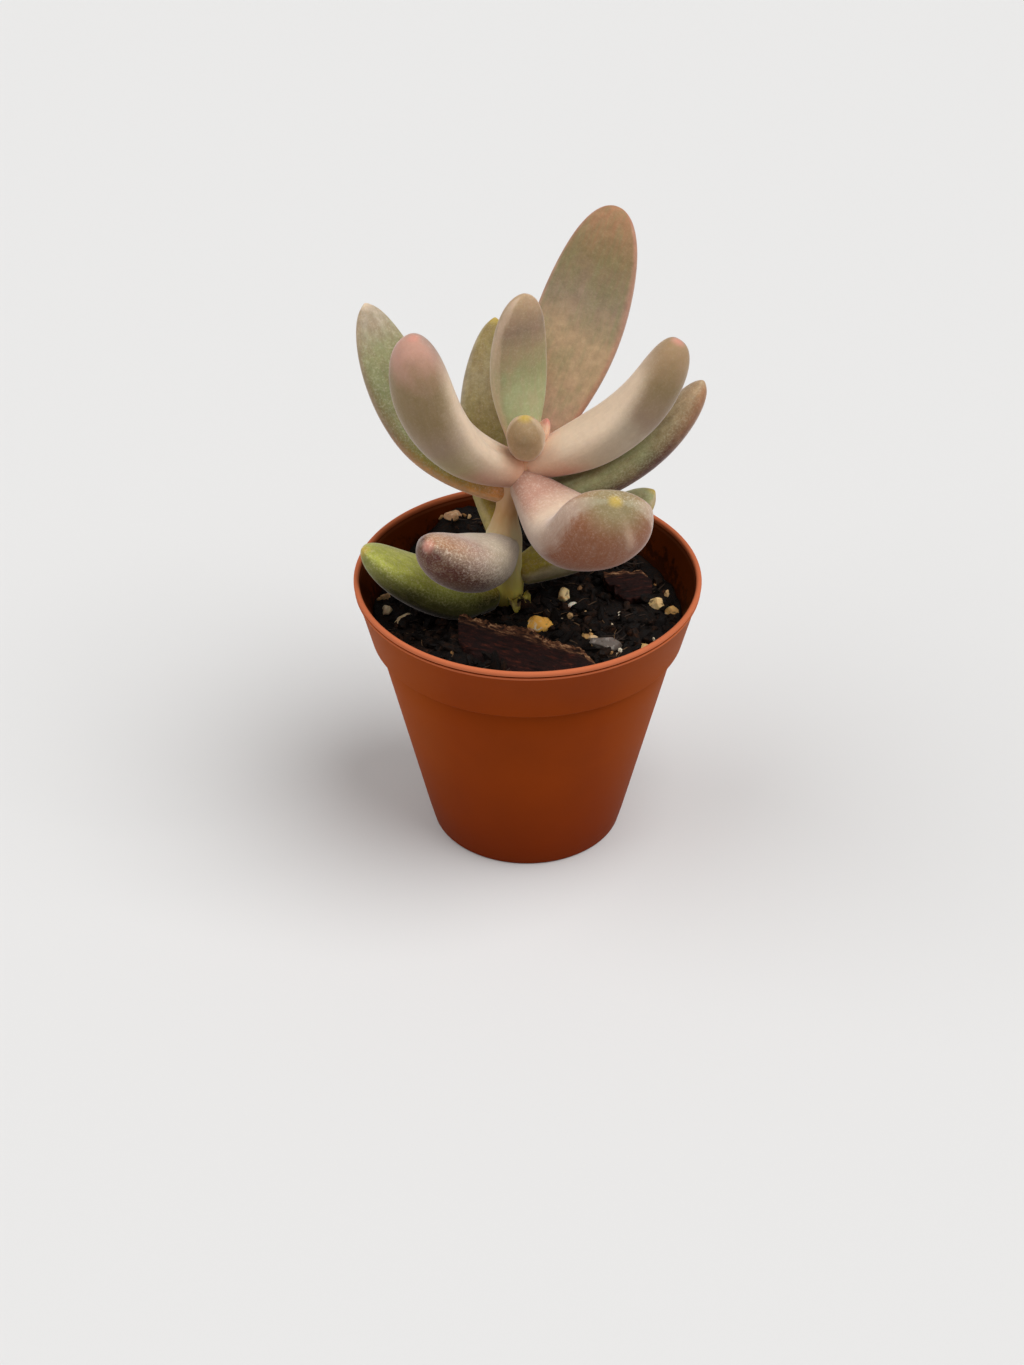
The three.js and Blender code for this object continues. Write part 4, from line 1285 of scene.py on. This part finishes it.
class SUCCULENT_OT_leaves(bpy.types.Operator):
    """Grow each leaf from the stem to its small point"""

    bl_idname = "succulent.leaves"
    bl_label = "Leaves"

    def execute(self, context):
        settings = context.scene.succulent_plant
        for number, (name, leaf) in enumerate(LEAVES.items()):
            bm = self.leaf(leaf, FOLDS.get(name), number, settings)
            skin = leaf_skin(f"farina_{name}", SKINS[name], settings.powder)
            finish_piece(f"{name}_skin", bm, skin, [name])
        return {"FINISHED"}

    def leaf(self, leaf, fold, number, settings):
        """A ball stretched along the leaf's line, with its poles at the stem and at the tip"""
        line = leaf_line(leaf)
        bm = bmesh.new()
        share_layer = bm.verts.layers.float_vector.new("leaf_share")
        straight_layer = bm.verts.layers.float_vector.new("leaf_straight")
        tip_layer = bm.verts.layers.float.new("from_tip")
        keel_layer = bm.verts.layers.float.new("keel")
        bmesh.ops.create_uvsphere(bm, u_segments=settings.around, v_segments=settings.along, radius=1)
        for vert in bm.verts:
            t = min(max((1 + vert.co.z) / 2, 0), 1)
            step = min(int(t * LEAF_STEPS), LEAF_STEPS - 1)
            part = t * LEAF_STEPS - step
            place, ahead, across, through = (
                low.lerp(high, part) for low, high in zip(line[step], line[step + 1])
            )
            around = math.hypot(vert.co.x, vert.co.y)
            cos = vert.co.x / around if around > POLE else 0
            sin = vert.co.y / around if around > POLE else 0
            uneven = 1 + UNEVEN * noise.noise(Vector((cos * 1.4, sin * 1.4, t * 3.5 + 10 * number)))
            width = leaf.width / 2 * fullness(t, leaf.widest, leaf.neck, leaf.blunt) * uneven
            depth = leaf.thickness / 2 * fullness(t, leaf.widest, THICK_NECK, leaf.blunt) * uneven
            side = math.copysign(abs(cos) ** SECTION_POWER, cos) * width
            up = sin * depth * (UPPER_SHARE if sin > 0 else BELLY_SHARE)
            if sin > 0:
                up -= leaf.hollow * sin ** 2 * math.sin(math.pi * t) ** 1.5
            rise = fold_rise(fold, t, math.atan2(sin, cos))
            # The keel's rise sets its pale tint, partly its own paler skin and partly a painted highlight
            if rise > 0:
                vert[keel_layer] = KEEL_SHARE * rise / fold.depth
            side += cos * rise
            up += sin * rise
            from_axis = math.hypot(side, up)
            point = leaf.point * math.exp(-(from_axis / POINT_SPREAD) ** 2) if t > POINT_START else 0
            vert[share_layer] = Vector((cos, sin, t))
            vert[straight_layer] = Vector((side, up, t * leaf.length + PATTERN_STEP * number)) * MM
            vert[tip_layer] = math.hypot(from_axis, (1 - t) * leaf.length) * MM
            vert.co = place + across * side + through * up + ahead * point
        return bm


class SUCCULENT_OT_scraps(bpy.types.Operator):
    """Curl the dried leaf scraps at the stem's foot"""

    bl_idname = "succulent.scraps"
    bl_label = "Dried leaf scraps"

    def execute(self, context):
        bm = bmesh.new()
        # Each scrap: where it leaves the stem's foot, its heading, length, breadth and rise
        for x, y, heading, length, breadth, rise in (
            (-3.0, 1.9, -74, 3.6, 2.2, 1.6),
            (-1.6, 2.2, -48, 3.0, 1.8, 2.2),
        ):
            made = bmesh.ops.create_grid(bm, x_segments=16, y_segments=8, size=1)["verts"]
            turn = math.radians(heading)
            for vert in made:
                run = (vert.co.x + 1) / 2
                side = vert.co.y * breadth / 2 * math.sin(math.pi * (0.15 + 0.75 * run)) ** 0.7
                ragged = 0.3 * noise.noise(Vector((vert.co.x * 3, vert.co.y * 2, heading)))
                height = soil_height(x, y) + 0.5 + rise * math.sin(math.pi * run) + 0.8 * vert.co.y ** 2
                forward = run * length + ragged
                vert.co = Vector((
                    x + forward * math.cos(turn) - side * math.sin(turn),
                    y + forward * math.sin(turn) + side * math.cos(turn),
                    height + ragged,
                ))
        bmesh.ops.recalc_face_normals(bm, faces=bm.faces[:])
        bmesh.ops.solidify(bm, geom=bm.faces[:], thickness=0.18)
        finish_piece("dried_leaf_scraps", bm, dry_leaf())
        return {"FINISHED"}


class SUCCULENT_OT_stage(bpy.types.Operator):
    """Set the plain floor, the soft light and the photograph's camera"""

    bl_idname = "succulent.stage"
    bl_label = "Floor, light and camera"

    def execute(self, context):
        scene = context.scene
        settings = scene.succulent_stage
        self.floor(settings)
        self.light(scene, settings)
        lens = bpy.data.cameras.new("camera")
        lens.sensor_fit = "VERTICAL"
        lens.sensor_height = SENSOR_HEIGHT
        lens.lens = LENS
        camera = add_object("camera", lens)
        camera.location = Vector(CAMERA_PLACE) * MM
        camera.rotation_euler = (math.radians(90 - CAMERA_DIP), 0, math.radians(CAMERA_YAW))
        scene.camera = camera
        scene.view_settings.view_transform = "Standard"
        return {"FINISHED"}

    def floor(self, settings):
        """Matt studio paper: plain, pale and even"""
        bm = bmesh.new()
        bmesh.ops.create_grid(bm, x_segments=1, y_segments=1, size=4)
        material, tree, shader = new_material("matt_studio_paper")
        fill(tree, shader, {"Base Color": settings.floor[:], "Roughness": 0.95, "Specular IOR Level": 0.1})
        floor = add_mesh("floor", bm, material)

    def light(self, scene, settings):
        """A dim even room, with wide soft light from above, stronger from the right"""
        world = bpy.data.worlds.new("room")
        world.use_nodes = True
        back = world.node_tree.nodes["Background"]
        fill(world.node_tree, back, {"Color": linear("#FFFCF8"), "Strength": settings.sky})
        scene.world = world
        for name, way, share, spread in LIGHTS:
            source = bpy.data.lights.new(name, "SUN")
            source.energy = settings.key * share
            source.angle = math.radians(spread)
            add_object(name, source).rotation_euler = Vector(way).to_track_quat("Z", "Y").to_euler()


STEPS = (
    SUCCULENT_OT_pot,
    SUCCULENT_OT_soil,
    SUCCULENT_OT_crumbs,
    SUCCULENT_OT_stones,
    SUCCULENT_OT_bark,
    SUCCULENT_OT_stem,
    SUCCULENT_OT_leaves,
    SUCCULENT_OT_scraps,
    SUCCULENT_OT_stage,
)


class SUCCULENT_PT_steps(bpy.types.Panel):
    """Lists every step with the sizes and colours that it uses"""

    bl_idname = "SUCCULENT_PT_steps"
    bl_label = "Succulent"
    bl_space_type = "VIEW_3D"
    bl_region_type = "UI"
    bl_category = "Succulent"

    def draw(self, context):
        for name, group in SETTINGS.items():
            box = self.layout.box()
            for key in group.__annotations__:
                box.prop(getattr(context.scene, name), key)
        for step in STEPS:
            self.layout.operator(step.bl_idname)


SETTINGS = {
    "succulent_pot": PotSettings,
    "succulent_soil": SoilSettings,
    "succulent_plant": PlantSettings,
    "succulent_stage": StageSettings,
}


def register():
    for made in (*SETTINGS.values(), *STEPS, SUCCULENT_PT_steps):
        bpy.utils.register_class(made)
    for name, group in SETTINGS.items():
        setattr(bpy.types.Scene, name, PointerProperty(type=group))


def unregister():
    for name in SETTINGS:
        delattr(bpy.types.Scene, name)
    for made in (SUCCULENT_PT_steps, *reversed(STEPS), *reversed(SETTINGS.values())):
        bpy.utils.unregister_class(made)


def main():
    register()
    for step in STEPS:
        area, name = step.bl_idname.split(".")
        getattr(getattr(bpy.ops, area), name)()


if __name__ == "__main__":
    main()
